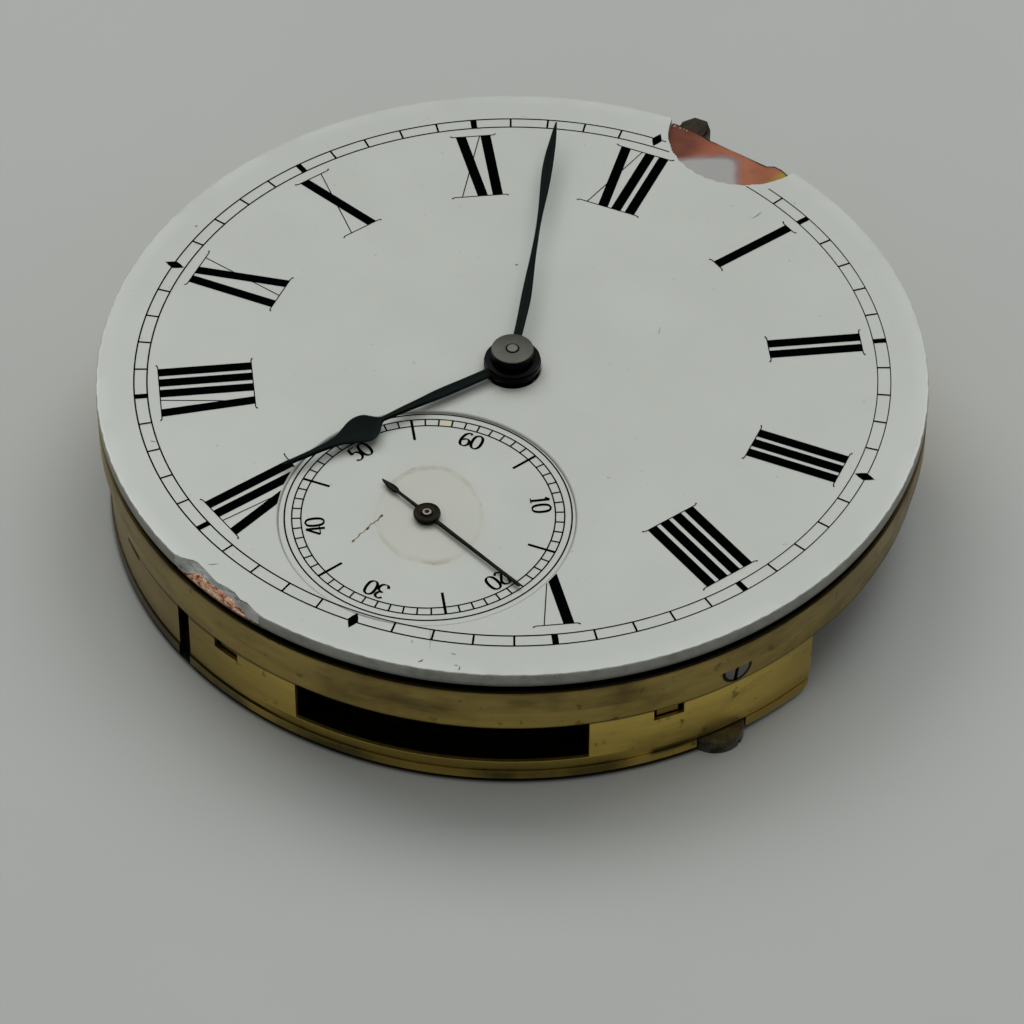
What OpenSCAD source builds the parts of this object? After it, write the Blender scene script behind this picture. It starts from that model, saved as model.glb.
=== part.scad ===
// Pocket watch movement, lying on its back with the dial up.
// +Z points out of the dial, +Y to XII and +X to III.
// z = 0 is the back face of the bridges, on which the movement rests.

/* [Frame] */
// Outside diameter of the brass edge under the dial
edge_d = 44.8; // [43:0.1:47]
// Height of the brass edge
edge_h = 1.5; // [1.2:0.05:1.8]
// How far the pillar plate's rim lies inside the brass edge
plate_step = 0.25; // [0.15:0.05:0.4]
// Thickness of the pillar plate at its rim
plate_t = 1.4; // [1.3:0.05:2]
// Height of the pillar plate's raised middle above its rim
plate_boss_h = 0.7; // [0.5:0.05:1]
// How far the raised middle, which centres the brass edge, lies inside that edge
plate_boss_in = 3.6; // [3.5:0.05:4]
// How far the bridges' wall lies inside the pillar plate's rim
bridge_step = 0.2; // [0.1:0.05:0.4]
// Thickness of the bridges' web
bridge_t = 1.7; // [1.5:0.05:2]
// Height of the bridges' wall between their web and the pillar plate
train_gap = 2.6; // [2.5:0.05:3.2]
// Thickness of the bridges' wall
wall_t = 1.3; // [1:0.05:1.6]
// Height of the lip at the foot of the wall
lip_h = 0.85; // [0.5:0.05:1.2]
// How far the lip stands out of the wall
lip_out = 0.08; // [0.04:0.01:0.15]

/* [Wall openings] */
// Direction of the window's first side
window_from = 262.8; // [262:0.1:268]
// Direction of the window's last side
window_to = 304.2; // [298:0.1:304.4]
// Height of the sill below the window
window_sill = 1.5; // [1.35:0.01:1.6]
// Direction of the slot between the two bridges
slot_az = 241.6; // [238:0.1:243]
// Width of the slot between the two bridges
slot_w = 0.92; // [0.6:0.02:1.2]
// Direction where the train bridge ends at the balance
train_end_az = 339.5; // [337:0.1:342]
// Direction where the barrel bridge ends at the balance
barrel_end_az = 66; // [62:0.5:70]
// Width of a notch in the top of the wall
notch_w = 1.7; // [1.5:0.05:2]
// Depth of a notch below the pillar plate
notch_h = 1; // [0.8:0.05:1.2]
// Width of the pillar plate's tongue in each notch
tongue_w = 1.2; // [0.8:0.05:1.4]
// How far a tongue lies back from the wall's face
tongue_back = 0.25; // [0.15:0.05:0.5]

/* [Dial] */
// How far the dial's rim stands out past the brass edge
dial_over = 0; // [-0.3:0.05:0.3]
// Thickness of the front enamel
enamel_t = 0.35; // [0.25:0.05:0.5]
// Thickness of the copper disc inside the dial
copper_t = 0.25; // [0.2:0.05:0.4]
// Thickness of the enamel on the back of the dial
counter_t = 0.35; // [0.25:0.05:0.5]
// How far the copper disc lies inside the dial's rim
copper_in = 0.5; // [0.4:0.05:0.9]
// Gap between the brass edge and the dial's rim
dial_gap = 0.45; // [0.3:0.05:0.8]
// How far the seat that carries the dial lies inside the brass edge
seat_in = 1.3; // [1:0.05:1.5]
// Diameter of the hole for the hour wheel's pipe
dial_hole_d = 3; // [2.8:0.1:3.4]
// Diameter of the sunk seconds dial
seconds_d = 15.6; // [15:0.1:16.4]
// Depth of the seconds dial below the dial's face
seconds_sink = 0.1; // [0.05:0.01:0.15]
// Diameter of the hole in the seconds dial
seconds_hole_d = 1.1; // [0.9:0.05:1.3]
// How far the dial feet lie inside the brass edge
foot_in = 2.8; // [2.7:0.05:2.85]
// Direction of the first dial foot
foot_az = 325.4; // [323:0.1:328]
// Diameter of a dial foot
foot_d = 1.1; // [0.8:0.05:1.2]
// Direction of the chip near XII
chip_a_az = 79.3; // [75:0.1:83]
// Radius of the curve of that chip
chip_a_r = 4.2; // [3.8:0.1:5]
// Distance that the chip near XII reaches in from the rim
chip_a_in = 3.6; // [3:0.05:3.8]
// Direction of the chip near VII
chip_b_az = 249.5; // [246:0.5:252]
// Radius of the curve of that chip
chip_b_r = 4.2; // [3.5:0.1:5]
// Distance that the chip near VII reaches in from the rim
chip_b_in = 1; // [0.7:0.05:1.3]

/* [Hands] */
// Direction of the hour hand at rest
hour_az = 236.6; // [0:0.1:360]
// Direction of the minute hand at rest
minute_az = 106.2; // [0:0.1:360]
// Direction of the seconds hand at rest
seconds_hand_az = 337; // [0:0.1:360]
// Length of the hour hand
hour_len = 14.4; // [13:0.1:15]
// Length of the minute hand
minute_len = 18.8; // [17.5:0.1:19.6]
// Length of the seconds hand
seconds_len = 7.1; // [6:0.1:7.2]
// Length of the seconds hand's tail
seconds_tail = 3.5; // [3:0.1:4]
// Thickness of a hand
hand_t = 0.16; // [0.1:0.01:0.18]
// Diameter of the hour hand's boss
hour_boss_d = 3.1; // [2.8:0.05:3.4]
// Diameter of the minute hand's collar
minute_collar_d = 2.3; // [2:0.05:2.6]
// Diameter of the seconds hand's hub
seconds_hub_d = 1.45; // [1.2:0.05:1.6]
// Height of the hour hand's underside above the dial
hour_lift = 0.4; // [0.36:0.01:0.5]
// Height of the minute hand's collar top above the dial
minute_top = 1.5; // [1.45:0.05:1.8]

/* [Train] */
// Distance of the seconds hand from the centre
seconds_r = 11.95; // [11.8:0.05:12.2]
// Direction of the seconds hand from the centre
seconds_az = 271.8; // [270:0.1:273]
// Direction of the barrel from the centre
barrel_az = 120; // [118:0.5:122]
// Direction of the escape wheel from the fourth wheel
escape_az = 30; // [26:0.5:33]
// Distance of the balance from the centre
balance_r = 10; // [9.9:0.05:10.3]
// Direction of the balance from the centre
balance_az = 0; // [-2:0.5:2]
// Distance of the lever's arbor from the escape wheel
pallet_gap = 4.2; // [4:0.05:4.4]
// Tooth module of the barrel and centre pinion
mod_barrel = 0.22; // [0.216:0.001:0.224]
// Tooth module of the centre wheel and third pinion
mod_centre = 0.17; // [0.167:0.001:0.173]
// Tooth module of the third wheel and fourth pinion
mod_third = 0.15; // [0.147:0.001:0.153]
// Tooth module of the fourth wheel and escape pinion
mod_fourth = 0.13; // [0.127:0.001:0.132]
// Tooth module of the cannon pinion and minute wheel
mod_minute = 0.16; // [0.155:0.001:0.165]
// Thickness of a train wheel
wheel_t = 0.22; // [0.16:0.01:0.25]
// Thickness of the barrel's toothed rim
barrel_teeth_t = 0.5; // [0.4:0.05:0.6]
// Diameter of the barrel drum below its teeth
drum_d = 16.4; // [16:0.1:16.6]
// Wall of the barrel drum
drum_wall = 0.55; // [0.4:0.05:0.7]
// Diameter of the centre arbor
centre_arbor_d = 0.9; // [0.8:0.02:0.94]
// Diameter of the third, fourth and escape arbors
arbor_d = 0.6; // [0.5:0.02:0.62]
// Diameter of the train pivots
pivot_d = 0.24; // [0.18:0.02:0.3]
// Diameter of the ratchet wheel
ratchet_d = 8.8; // [8.4:0.1:9]
// Side of the winding square
square_w = 1.3; // [1.1:0.05:1.4]

/* [Escapement] */
// Diameter of the escape wheel
escape_d = 6; // [5.6:0.1:6.2]
// Diameter of the balance rim
balance_d = 14.2; // [13.6:0.1:14.4]
// Radial width of the balance rim
balance_rim_w = 0.7; // [0.5:0.05:0.9]
// Height of the balance rim
balance_rim_h = 0.65; // [0.5:0.05:0.75]
// How far the balance screws stand out of the rim
balance_screw_out = 0.65; // [0.4:0.05:0.7]
// Thickness of the balance cock's arm
cock_t = 0.6; // [0.5:0.05:0.7]
// Depth of the balance cock's face behind the bridges' face
cock_sink = 0.25; // [0.2:0.01:0.35]
// Number of turns of the hairspring
spring_turns = 6; // [4:1:6]
// Distance between turns of the hairspring
spring_pitch = 0.5; // [0.48:0.01:0.5]
// Thickness of the hairspring's strip
spring_t = 0.08; // [0.06:0.01:0.08]
// Height of the hairspring's strip
spring_h = 0.2; // [0.15:0.01:0.22]
// Half of the lever's swing
lever_swing = 5; // [4:0.5:6]

/* [Fasteners] */
// Head diameter of a bridge screw
bridge_head_d = 2; // [1.8:0.05:2.2]
// Shank diameter of a bridge screw
bridge_shank_d = 1; // [0.8:0.05:1.1]
// How far the bridge screws lie inside the brass edge
screw_in = 3; // [2.9:0.05:3.2]
// Head diameter of a dial screw
dial_head_d = 1.6; // [1.4:0.05:1.7]
// Height of the dial screws' axis below the brass edge
dial_screw_drop = 0.4; // [0.35:0.01:0.45]
// Head diameter of a case screw
case_head_d = 3.1; // [2.8:0.05:3.3]
// Head height of a case screw
case_head_h = 0.8; // [0.6:0.05:1]
// How far the case screws' axes lie inside the brass edge
case_screw_in = 1.1; // [1.05:0.01:1.2]
// Direction of the case lug
lug_az = 88; // [84:0.5:92]
// Width of the case lug
lug_w = 1.75; // [1.6:0.05:2.2]
// How far the case lug stands out of the brass edge
lug_out = 2.5; // [1.8:0.1:2.8]

/* [Fits] */
// Gap round a piece that is pressed or seated
fit_seat = 0.01; // [0.005:0.005:0.02]
// Radial gap round a turning arbor or pipe
fit_run = 0.04; // [0.03:0.005:0.05]
// Gap between faces that pass each other
fit_pass = 0.1; // [0.08:0.01:0.12]

/* [Hidden] */
$fn = 96;

// Tooth counts
barrel_teeth = 80;
centre_teeth = 80;
third_teeth = 75;
fourth_teeth = 80;
escape_teeth = 15;
train_leaves = 10;
escape_leaves = 8;
cannon_leaves = 12;
minute_teeth = 36;
minute_leaves = 10;
hour_teeth = 40;
ratchet_teeth = 30;

// Tooth form: heights in modules, half widths as shares of the tooth pitch
wheel_add = 0.9;
wheel_ded = 1.1;
leaf_add = 0.6;
leaf_ded = 1.4;
half_tip = 0.08;
half_pitch_line = 0.19;
half_root = 0.22;

// Radii of the frame
edge_r = edge_d / 2;
plate_r = edge_r - plate_step;
bridge_r = plate_r - bridge_step;
wall_in_r = bridge_r - wall_t;
boss_r = edge_r - plate_boss_in;
seat_r = edge_r - seat_in;
dial_r = edge_r + dial_over;
copper_r = dial_r - copper_in;
foot_ring_r = edge_r - foot_in;
screw_ring_r = edge_r - screw_in;
case_screw_r = edge_r - case_screw_in;
lug_reach = edge_r + lug_out;
far = 3 * edge_r;

// The train and the hands are laid out for this diameter, and follow the brass edge
layout_d = 44.8;
grow = edge_d / layout_d;

// Heights from the back face to the top of the hands
cut = 0.5;
z_web = bridge_t;
z_plate = z_web + train_gap;
z_edge = z_plate + plate_t;
z_floor = z_edge + plate_boss_h;
z_edge_top = z_edge + edge_h;
z_dial = z_edge_top + dial_gap;
z_copper = z_dial + counter_t;
z_enamel = z_copper + copper_t;
z_face = z_enamel + enamel_t;
z_seconds = z_face - seconds_sink;

// Heights of the escapement, from the balance cock towards the dial
z_cock = cock_sink;
z_cock_in = z_cock + cock_t;
z_spring = z_cock_in + fit_pass;
z_balance = z_spring + spring_h + 0.15;
z_balance_in = z_balance + balance_rim_h;
z_pallet_cock = z_balance_in + 0.2;
pallet_cock_t = 0.35;
z_lever = z_pallet_cock + pallet_cock_t + 0.2;
lever_t = 0.25;
z_escape = z_lever + lever_t + 0.15;
z_roller = z_balance_in + 0.15;
roller_t = 0.25;

// Heights of the train
z_barrel = z_web + 0.3;
z_barrel_top = z_plate + 0.15;
z_barrel_teeth = z_barrel_top - barrel_teeth_t;
cover_t = 0.35;
barrel_sink_h = 0.7;
centre_sink_h = 1.2;
z_sink = z_plate + centre_sink_h;
z_centre_wheel = z_sink - 0.28 - wheel_t;
z_third_wheel = z_plate - 0.5 - wheel_t;
z_fourth_wheel = z_web + 0.75;
leaf_h = 0.7;
jewel_t = 0.5;
jewel_r = 0.6;
pivot_l = 0.55;
shoulder = 0.12;

// Heights of the motion work
z_cannon = z_floor + fit_pass;
cannon_leaf_h = 0.45;
z_minute_wheel = z_floor + 0.15;
minute_wheel_t = 0.3;
z_hour_wheel = z_cannon + cannon_leaf_h + fit_pass;
hour_wheel_t = 0.25;
minute_leaf_h = z_hour_wheel + hour_wheel_t + 0.05 - z_minute_wheel - minute_wheel_t;

// Heights of the hands
z_hour = z_face + hour_lift;
z_hour_boss = z_hour - 0.15;
hour_boss_h = 0.55;
z_minute_top = z_face + minute_top;
z_minute_collar = z_hour_boss + hour_boss_h + fit_pass;
z_minute = z_minute_top - 0.2 - hand_t;
z_seconds_hub = z_seconds + 0.14;
seconds_hub_h = 0.28;

// Radii about the centre arbor
centre_r = centre_arbor_d / 2;
cannon_pipe_r = centre_r + 0.27;
cannon_tip_r = 0.28;
hour_pipe_in = cannon_pipe_r + fit_run + 0.02;
hour_pipe_r = hour_pipe_in + 0.34;

// Centre distances of the meshing pairs
m_barrel = grow * mod_barrel;
m_centre = grow * mod_centre;
m_third = grow * mod_third;
m_fourth = grow * mod_fourth;
m_minute = grow * mod_minute;
gap_barrel = (barrel_teeth + train_leaves) * m_barrel / 2;
gap_centre = (centre_teeth + train_leaves) * m_centre / 2;
gap_third = (third_teeth + train_leaves) * m_third / 2;
gap_fourth = (fourth_teeth + escape_leaves) * m_fourth / 2;
gap_minute = (cannon_leaves + minute_teeth) * m_minute / 2;
mod_hour = 2 * gap_minute / (minute_leaves + hour_teeth);

// Axes seen from the dial
centre = [0, 0];
fourth = polar(grow * seconds_r, seconds_az);
third = meet(centre, gap_centre, fourth, gap_third, -1);
escape = fourth + polar(gap_fourth, escape_az);
barrel = polar(gap_barrel, barrel_az);
balance = polar(grow * balance_r, balance_az);
lever_az = heading(escape, balance);
pallet = escape + polar(grow * pallet_gap, lever_az);
fork_len = norm(balance - pallet);
minute_post_az = 30;
minute_axis = polar(gap_minute, minute_post_az);

// Sizes of the wheels
barrel_tip_r = barrel_teeth * m_barrel / 2 + wheel_add * m_barrel;
centre_tip_r = centre_teeth * m_centre / 2 + wheel_add * m_centre;
third_leaf_r = train_leaves * m_centre / 2 + leaf_add * m_centre;
escape_r = grow * escape_d / 2;
balance_rim_r = grow * balance_d / 2;
balance_out_r = balance_rim_r + balance_screw_out;
open_r = balance_out_r + 0.5;
drum_r = grow * drum_d / 2;
drum_in_r = drum_r - drum_wall;
ratchet_r = grow * ratchet_d / 2;
seconds_dial_r = grow * seconds_d / 2;

// The split between the two bridges: a line across the barrel's direction, then the slot
split_off = 3.6;
knee_back = 5.2;
split_r = grow * split_off;
knee = polar(split_r, barrel_az) + polar(grow * knee_back, barrel_az + 90);
split_end = polar(split_r, barrel_az) + polar(far, barrel_az - 90);
slot_end = knee + 2 * (polar(bridge_r, slot_az) - knee);
split_by_balance = balance + polar(split_r - balance * polar(1, barrel_az), barrel_az);
barrel_side_az = heading(balance, polar(bridge_r, barrel_end_az));

// Fasteners
train_screw_az = [257, 309, 332];
barrel_screw_az = [90, 165, 216];
cock_screw_az = 44;
case_screw_az = [323.6, 143.6];
foot_dirs = [for (turn = [0, 140, 240]) foot_az + turn];
tongue_az = [226.7, 250.65, 315.45];
screw_boss_r = 1.5;
bridge_head_h = 0.55;
head_sink = 0.15;
shank_in = 1;
slot_cut = 0.22;
dial_head_h = 0.7;
dial_shank_d = 0.7;
z_dial_screw = z_edge - dial_screw_drop;
case_shank_d = 1;
lug_h = edge_h - 0.4;
lug_in = 1.8;
lug_in_r = edge_r - lug_in;
well_depth = 0.8;
well_r = 1.05;

// The ratchet's recess in the back of the barrel bridge, and the click's beside it
ratchet_sink = 1.15;
ratchet_t = 0.3;
z_ratchet = ratchet_sink - ratchet_t - 0.05;
click_az = 165;
click_off = 1.6;
click_gap = ratchet_r + click_off;
click_axis = barrel + polar(click_gap, click_az);
click_pocket_r = 2.6;
click_hub_r = 0.8;
click_shank_r = 0.35;

// Balance pieces
staff_r = 0.35;
staff_pivot_r = 0.09;
collet_r = 0.75;
spring_in_r = collet_r + 0.25;
spring_out_r = spring_in_r + spring_turns * spring_pitch;
cock_foot_az = 42;
cock_foot = polar(screw_ring_r, cock_foot_az);
cock_az = heading(balance, cock_foot);
cock_end_r = 2.6;
cock_clear = 2;
cock_span = 32;
cock_boss_r = 1.15;
curb_r = spring_out_r - spring_pitch / 2;
curb_reach = 0.18;
curb_pin_r = 0.08;
index_r = 2;
index_len = 7.8;
index_w = 0.6;
roller_r = 1.7;
impulse_r = 1.25;
impulse_pin_r = 0.14;
spring_line = spiral_line(spring_in_r, spring_pitch, spring_turns, 24);
echo(hairspring_gap = least_gap(spring_line, 24) - spring_t);
main_turns = 6;
main_t = 0.2;
core_r = 1.6;
main_in_r = core_r + 0.4;
main_pitch = (drum_in_r - main_t / 2 - fit_seat - main_in_r) / main_turns;
echo(mainspring_gap = least_gap(spiral_line(main_in_r, main_pitch, main_turns, 24), 24) - main_t);

function polar(r, a) = [r * cos(a), r * sin(a)];

function heading(a, b) = atan2(b[1] - a[1], b[0] - a[0]);

// The point at distances ra and rb from a and b, on the left (1) or right (-1) of a to b
function meet(a, ra, b, rb, side) =
    let (
        d = norm(b - a),
        along = (d * d + ra * ra - rb * rb) / (2 * d),
        across = sqrt(ra * ra - along * along),
        u = (b - a) / d
    )
    a + along * u + side * across * [-u[1], u[0]];

// Outline of a toothed wheel: root, pitch line and tip on both sides of every tooth
function gear_outline(teeth, mod, add, ded) =
    let (
        pitch_r = teeth * mod / 2,
        root_r = pitch_r - ded * mod,
        tip_r = pitch_r + add * mod,
        corners = [
            [-half_root, root_r], [-half_pitch_line, pitch_r], [-half_tip, tip_r],
            [half_tip, tip_r], [half_pitch_line, pitch_r], [half_root, root_r]
        ]
    )
    [for (i = [0 : teeth - 1], c = corners) polar(c[1], (i + c[0]) * 360 / teeth)];

// Outline of a wheel whose teeth lean to one side
function saw_outline(teeth, tip_r, root_r, lean) =
    [for (i = [0 : teeth - 1], c = [[0, tip_r], [0.12, tip_r], [lean, root_r]])
        polar(c[1], (i + c[0]) * 360 / teeth)];

// The middle line of a flat spiral
function spiral_line(r0, pitch, turns, steps) =
    [for (i = [0 : turns * steps]) polar(r0 + pitch * i / steps, 360 * i / steps)];

// The least distance between points of a line that lie half a turn or more apart along it
function least_gap(line, steps) =
    min([for (i = [0 : len(line) - 1], j = [i + steps / 2 : 1 : len(line) - 1]) norm(line[i] - line[j])]);

// A flat spiral strip as one outline, outwards along one side and back along the other
function spiral_outline(r0, pitch, turns, thick, steps) =
    let (n = turns * steps)
    concat(
        [for (i = [0 : n]) polar(r0 + pitch * i / steps - thick / 2, 360 * i / steps)],
        [for (i = [n : -1 : 0]) polar(r0 + pitch * i / steps + thick / 2, 360 * i / steps)]
    );

// A symmetrical blade from its half widths along the length
function blade_outline(stations) =
    concat(
        [for (s = stations) [s[0], -s[1]]],
        [for (i = [len(stations) - 1 : -1 : 0]) [stations[i][0], stations[i][1]]]
    );

module at(p, z = 0) {
    translate([p[0], p[1], z]) children();
}

module ring(r, r_in, z0, z1) {
    difference() {
        translate([0, 0, z0]) cylinder(r = r, h = z1 - z0);
        translate([0, 0, z0 - cut]) cylinder(r = r_in, h = z1 - z0 + 2 * cut);
    }
}

module rod(r, z0, z1) {
    translate([0, 0, z0]) cylinder(r = r, h = z1 - z0);
}

// A block between two radii, two heights and two directions
module sector(r0, r1, a0, a1, z0, z1) {
    rotate([0, 0, a0]) rotate_extrude(angle = a1 - a0) translate([r0, z0]) square([r1 - r0, z1 - z0]);
}

module gear(teeth, mod, add, ded, z0, t, turn) {
    translate([0, 0, z0]) rotate([0, 0, turn])
        linear_extrude(t) polygon(gear_outline(teeth, mod, add, ded));
}

// The openings between the arms of a wheel
module crossings(hub_r, rim_r, arms, arm_w, z0, t, turn) {
    translate([0, 0, z0 - cut]) rotate([0, 0, turn]) difference() {
        cylinder(r = rim_r, h = t + 2 * cut);
        translate([0, 0, -cut]) cylinder(r = hub_r, h = t + 4 * cut);
        for (i = [0 : arms - 1])
            rotate([0, 0, i * 360 / arms]) translate([0, -arm_w / 2, -cut])
                cube([rim_r + cut, arm_w, t + 4 * cut]);
    }
}

// A train wheel with arms, bored for its arbor, with a tooth towards the pinion that it drives
module train_wheel(teeth, mod, z0, bore_r, arms, towards) {
    root_r = teeth * mod / 2 - wheel_ded * mod;
    difference() {
        gear(teeth, mod, wheel_add, wheel_ded, z0, wheel_t, towards);
        crossings(bore_r + 0.75, root_r - 0.5, arms, 0.65, z0, wheel_t, towards);
        rod(bore_r, z0 - cut, z0 + wheel_t + cut);
    }
}

// A pinion with its arbor, its leaves spaced to take a tooth from the given direction
module pinion(leaves, mod, leaf_z, h, r, z0, z1, from) {
    gear(leaves, mod, leaf_add, leaf_ded, leaf_z, h, from + 180 / leaves);
    rod(r, z0, z1);
}

// A slotted screw, its head at z = 0 and below, its shank above
module slotted_screw(head_r, head_h, shank_r, shank_l, turn) {
    difference() {
        union() {
            rod(head_r, -head_h, 0);
            rod(shank_r, -head_h / 2, shank_l);
        }
        rotate([0, 0, turn]) translate([-head_r - cut, -slot_cut / 2, -head_h - cut])
            cube([2 * head_r + 2 * cut, slot_cut, cut + head_h * 0.4]);
    }
}

// Dial

module chip(az, r, reach) {
    at(polar(dial_r - reach + r, az)) difference() {
        rod(r, z_dial - cut, z_face + cut);
        at(-polar(dial_r - reach + r, az)) rod(copper_r, z_dial - 2 * cut, z_enamel);
    }
}

module dial_feet_holes(gap, z0, z1) {
    for (a = foot_dirs) at(polar(foot_ring_r, a)) rod(foot_d / 2 + gap, z0, z1);
}

module dial_enamel() color("whitesmoke") {
    round_r = 0.25;
    rim = dial_r;
    difference() {
        rotate_extrude() polygon(concat(
            [[0, z_dial], [rim - round_r, z_dial]],
            [for (a = [-90 : 30 : 90])
                [rim - round_r, a < 0 ? z_dial + round_r : z_face - round_r] + polar(round_r, a)],
            [[0, z_face]]
        ));
        rod(copper_r + fit_seat, z_copper - fit_seat, z_enamel + fit_seat);
        rod(dial_hole_d / 2, z_dial - cut, z_face + cut);
        at(fourth) rod(seconds_dial_r + fit_seat, z_dial - cut, z_face + cut);
        dial_feet_holes(fit_seat, z_dial - cut, z_copper + fit_seat);
        chip(chip_a_az, chip_a_r, chip_a_in);
        chip(chip_b_az, chip_b_r, chip_b_in);
    }
}

module dial_copper() color("peru") {
    difference() {
        rod(copper_r, z_copper, z_enamel);
        rod(dial_hole_d / 2, z_copper - cut, z_enamel + cut);
        at(fourth) rod(seconds_dial_r + fit_seat, z_copper - cut, z_enamel + cut);
    }
}

module seconds_dial() color("whitesmoke") {
    at(fourth) ring(seconds_dial_r, seconds_hole_d / 2, z_dial, z_seconds);
}

module dial_feet() color("peru") {
    dial_feet_holes(0, z_dial_screw - 0.5, z_copper);
}

// The dial screws lie along radii, at the height of the feet's ends
module along_dial_screws() {
    for (a = foot_dirs)
        rotate([0, 0, a]) translate([plate_r, 0, z_dial_screw]) rotate([0, -90, 0]) children();
}

module dial_screws() color("lightsteelblue") {
    reach = plate_r - foot_ring_r - foot_d / 2 - fit_seat;
    along_dial_screws() translate([0, 0, dial_head_h])
        slotted_screw(dial_head_d / 2, dial_head_h, dial_shank_d / 2, reach - dial_head_h, 8);
}

// Hands

module hour_hand() color("midnightblue") {
    len = grow * hour_len;
    spade = 0.646 * len;
    difference() {
        union() {
            rod(hour_boss_d / 2, z_hour_boss, z_hour_boss + hour_boss_h);
            translate([0, 0, z_hour]) rotate([0, 0, hour_az]) linear_extrude(hand_t)
                polygon(blade_outline([
                [0.5, 0.34], [2.5, 0.31], [4.6, 0.32], [6, 0.24], [spade - 1.4, 0.16], [spade - 1, 0.2],
                [spade - 0.75, 0.5], [spade - 0.45, 0.8], [spade, 0.95], [spade + 0.5, 0.85], [spade + 1, 0.64],
                [spade + 1.5, 0.41], [spade + 2, 0.29], [spade + 3, 0.19], [len - 0.5, 0.12], [len, 0.04]
            ]));
        }
        rod(hour_pipe_r + fit_seat, z_hour_boss - cut, z_hour_boss + hour_boss_h + cut);
    }
}

module minute_hand() color("midnightblue") {
    len = grow * minute_len;
    difference() {
        union() {
            rod(minute_collar_d / 2, z_minute_collar, z_minute_top);
            translate([0, 0, z_minute]) rotate([0, 0, minute_az]) linear_extrude(hand_t)
                polygon(blade_outline([
                [0.5, 0.3], [1.5, 0.23], [0.23 * len, 0.275], [0.38 * len, 0.18], [0.52 * len, 0.125],
                [0.6 * len, 0.145], [0.68 * len, 0.22], [0.75 * len, 0.27], [0.79 * len, 0.285], [0.86 * len, 0.25],
                [0.9 * len, 0.21], [0.94 * len, 0.15], [len - 0.4, 0.1], [len, 0.04]
            ]));
        }
        rod(cannon_pipe_r + fit_seat, z_minute_collar - cut, z_minute_top + cut);
    }
}

module seconds_hand() color("darkslategray") {
    len = grow * seconds_len;
    tail = grow * seconds_tail;
    at(fourth) difference() {
        union() {
            rod(seconds_hub_d / 2, z_seconds_hub, z_seconds_hub + seconds_hub_h);
            translate([0, 0, z_seconds_hub + 0.06]) rotate([0, 0, seconds_hand_az])
                linear_extrude(hand_t * 0.75) polygon(blade_outline([
                    [-tail, 0.02], [1 - tail, 0.22], [1.3 - tail, 0.2], [1.5 - tail, 0.09],
                    [-0.4, 0.1], [0.4, 0.12], [len - 1, 0.08], [len, 0.04]
                ]));
        }
        rod(arbor_d / 2 + fit_seat, z_seconds_hub - cut, z_seconds_hub + seconds_hub_h + cut);
    }
}

// Motion work under the dial

module cannon_pinion() color("lightsteelblue") {
    z_neck = z_minute_top - 0.4;
    difference() {
        union() {
            gear(cannon_leaves, m_minute, leaf_add, leaf_ded, z_cannon, cannon_leaf_h,
                minute_post_az + 180 / cannon_leaves);
            rod(cannon_pipe_r, z_cannon, z_minute_top);
        }
        rod(centre_r + fit_seat, z_cannon - cut, z_neck + fit_seat);
        rod(cannon_tip_r + fit_seat, z_cannon - cut, z_minute_top + cut);
    }
}

module minute_wheel() color("goldenrod") {
    from_centre = minute_post_az + 180;
    at(minute_axis) difference() {
        union() {
            gear(minute_teeth, m_minute, wheel_add, wheel_ded, z_minute_wheel, minute_wheel_t, from_centre);
            gear(minute_leaves, mod_hour, leaf_add, leaf_ded, z_minute_wheel + minute_wheel_t,
                minute_leaf_h, from_centre + 180 / minute_leaves);
        }
        rod(0.3 + fit_run, z_floor - cut, z_dial);
    }
}

module minute_post() color("lightsteelblue") {
    at(minute_axis) rod(0.3, z_sink + 0.3, z_hour_wheel + hour_wheel_t + fit_pass);
}

module hour_wheel() color("goldenrod") {
    difference() {
        union() {
            gear(hour_teeth, mod_hour, wheel_add, wheel_ded, z_hour_wheel, hour_wheel_t, minute_post_az);
            rod(hour_pipe_r, z_hour_wheel, z_hour_boss + hour_boss_h - 0.05);
        }
        rod(hour_pipe_in, z_hour_wheel - cut, z_minute_top);
    }
}

// Frame

module brass_edge() color("darkgoldenrod") {
    difference() {
        union() {
            ring(edge_r, boss_r + fit_run, z_edge, z_edge_top);
            ring(seat_r, boss_r + fit_run, z_edge, z_dial);
        }
        dial_feet_holes(fit_run, z_edge - cut, z_dial + cut);
        along_dial_screws() rod(dial_head_d / 2 + fit_run, 0, plate_r - boss_r);
        rotate([0, 0, lug_az]) lug_block(fit_seat);
    }
}

// The case lug's block, with a gap on every side
module lug_block(gap) {
    translate([lug_in_r - gap, -lug_w / 2 - gap, z_edge + 0.1 - gap])
        cube([lug_reach - lug_in_r + 2 * gap, lug_w + 2 * gap, lug_h + 2 * gap]);
}

// The case lug's outline, a tongue with a filed, three-sided end
module lug_outline(inset) {
    half = lug_w / 2 - inset;
    end = lug_reach - lug_w / 2;
    polygon([
        [lug_in_r + inset, -half], [end + 0.27 * half, -half], [end + half, -0.44 * half],
        [end + half, 0.44 * half], [end + 0.27 * half, half], [lug_in_r + inset, half]
    ]);
}

module case_lug() color("dimgray") {
    step = 0.15;
    rotate([0, 0, lug_az]) translate([0, 0, z_edge + 0.1]) {
        linear_extrude(lug_h - step) lug_outline(0);
        translate([0, 0, lug_h / 2]) linear_extrude(lug_h / 2) lug_outline(step);
    }
}

// Axes with a bearing jewel in the plate, and in the train bridge
plate_bearings = [third, fourth, escape, pallet, balance];
bridge_bearings = [third, fourth, escape];

module bridge_screw_holes(dirs, gap, z0, z1) {
    for (a = dirs) at(polar(screw_ring_r, a)) rod(bridge_shank_d / 2 + gap, z0, z1);
}

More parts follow.
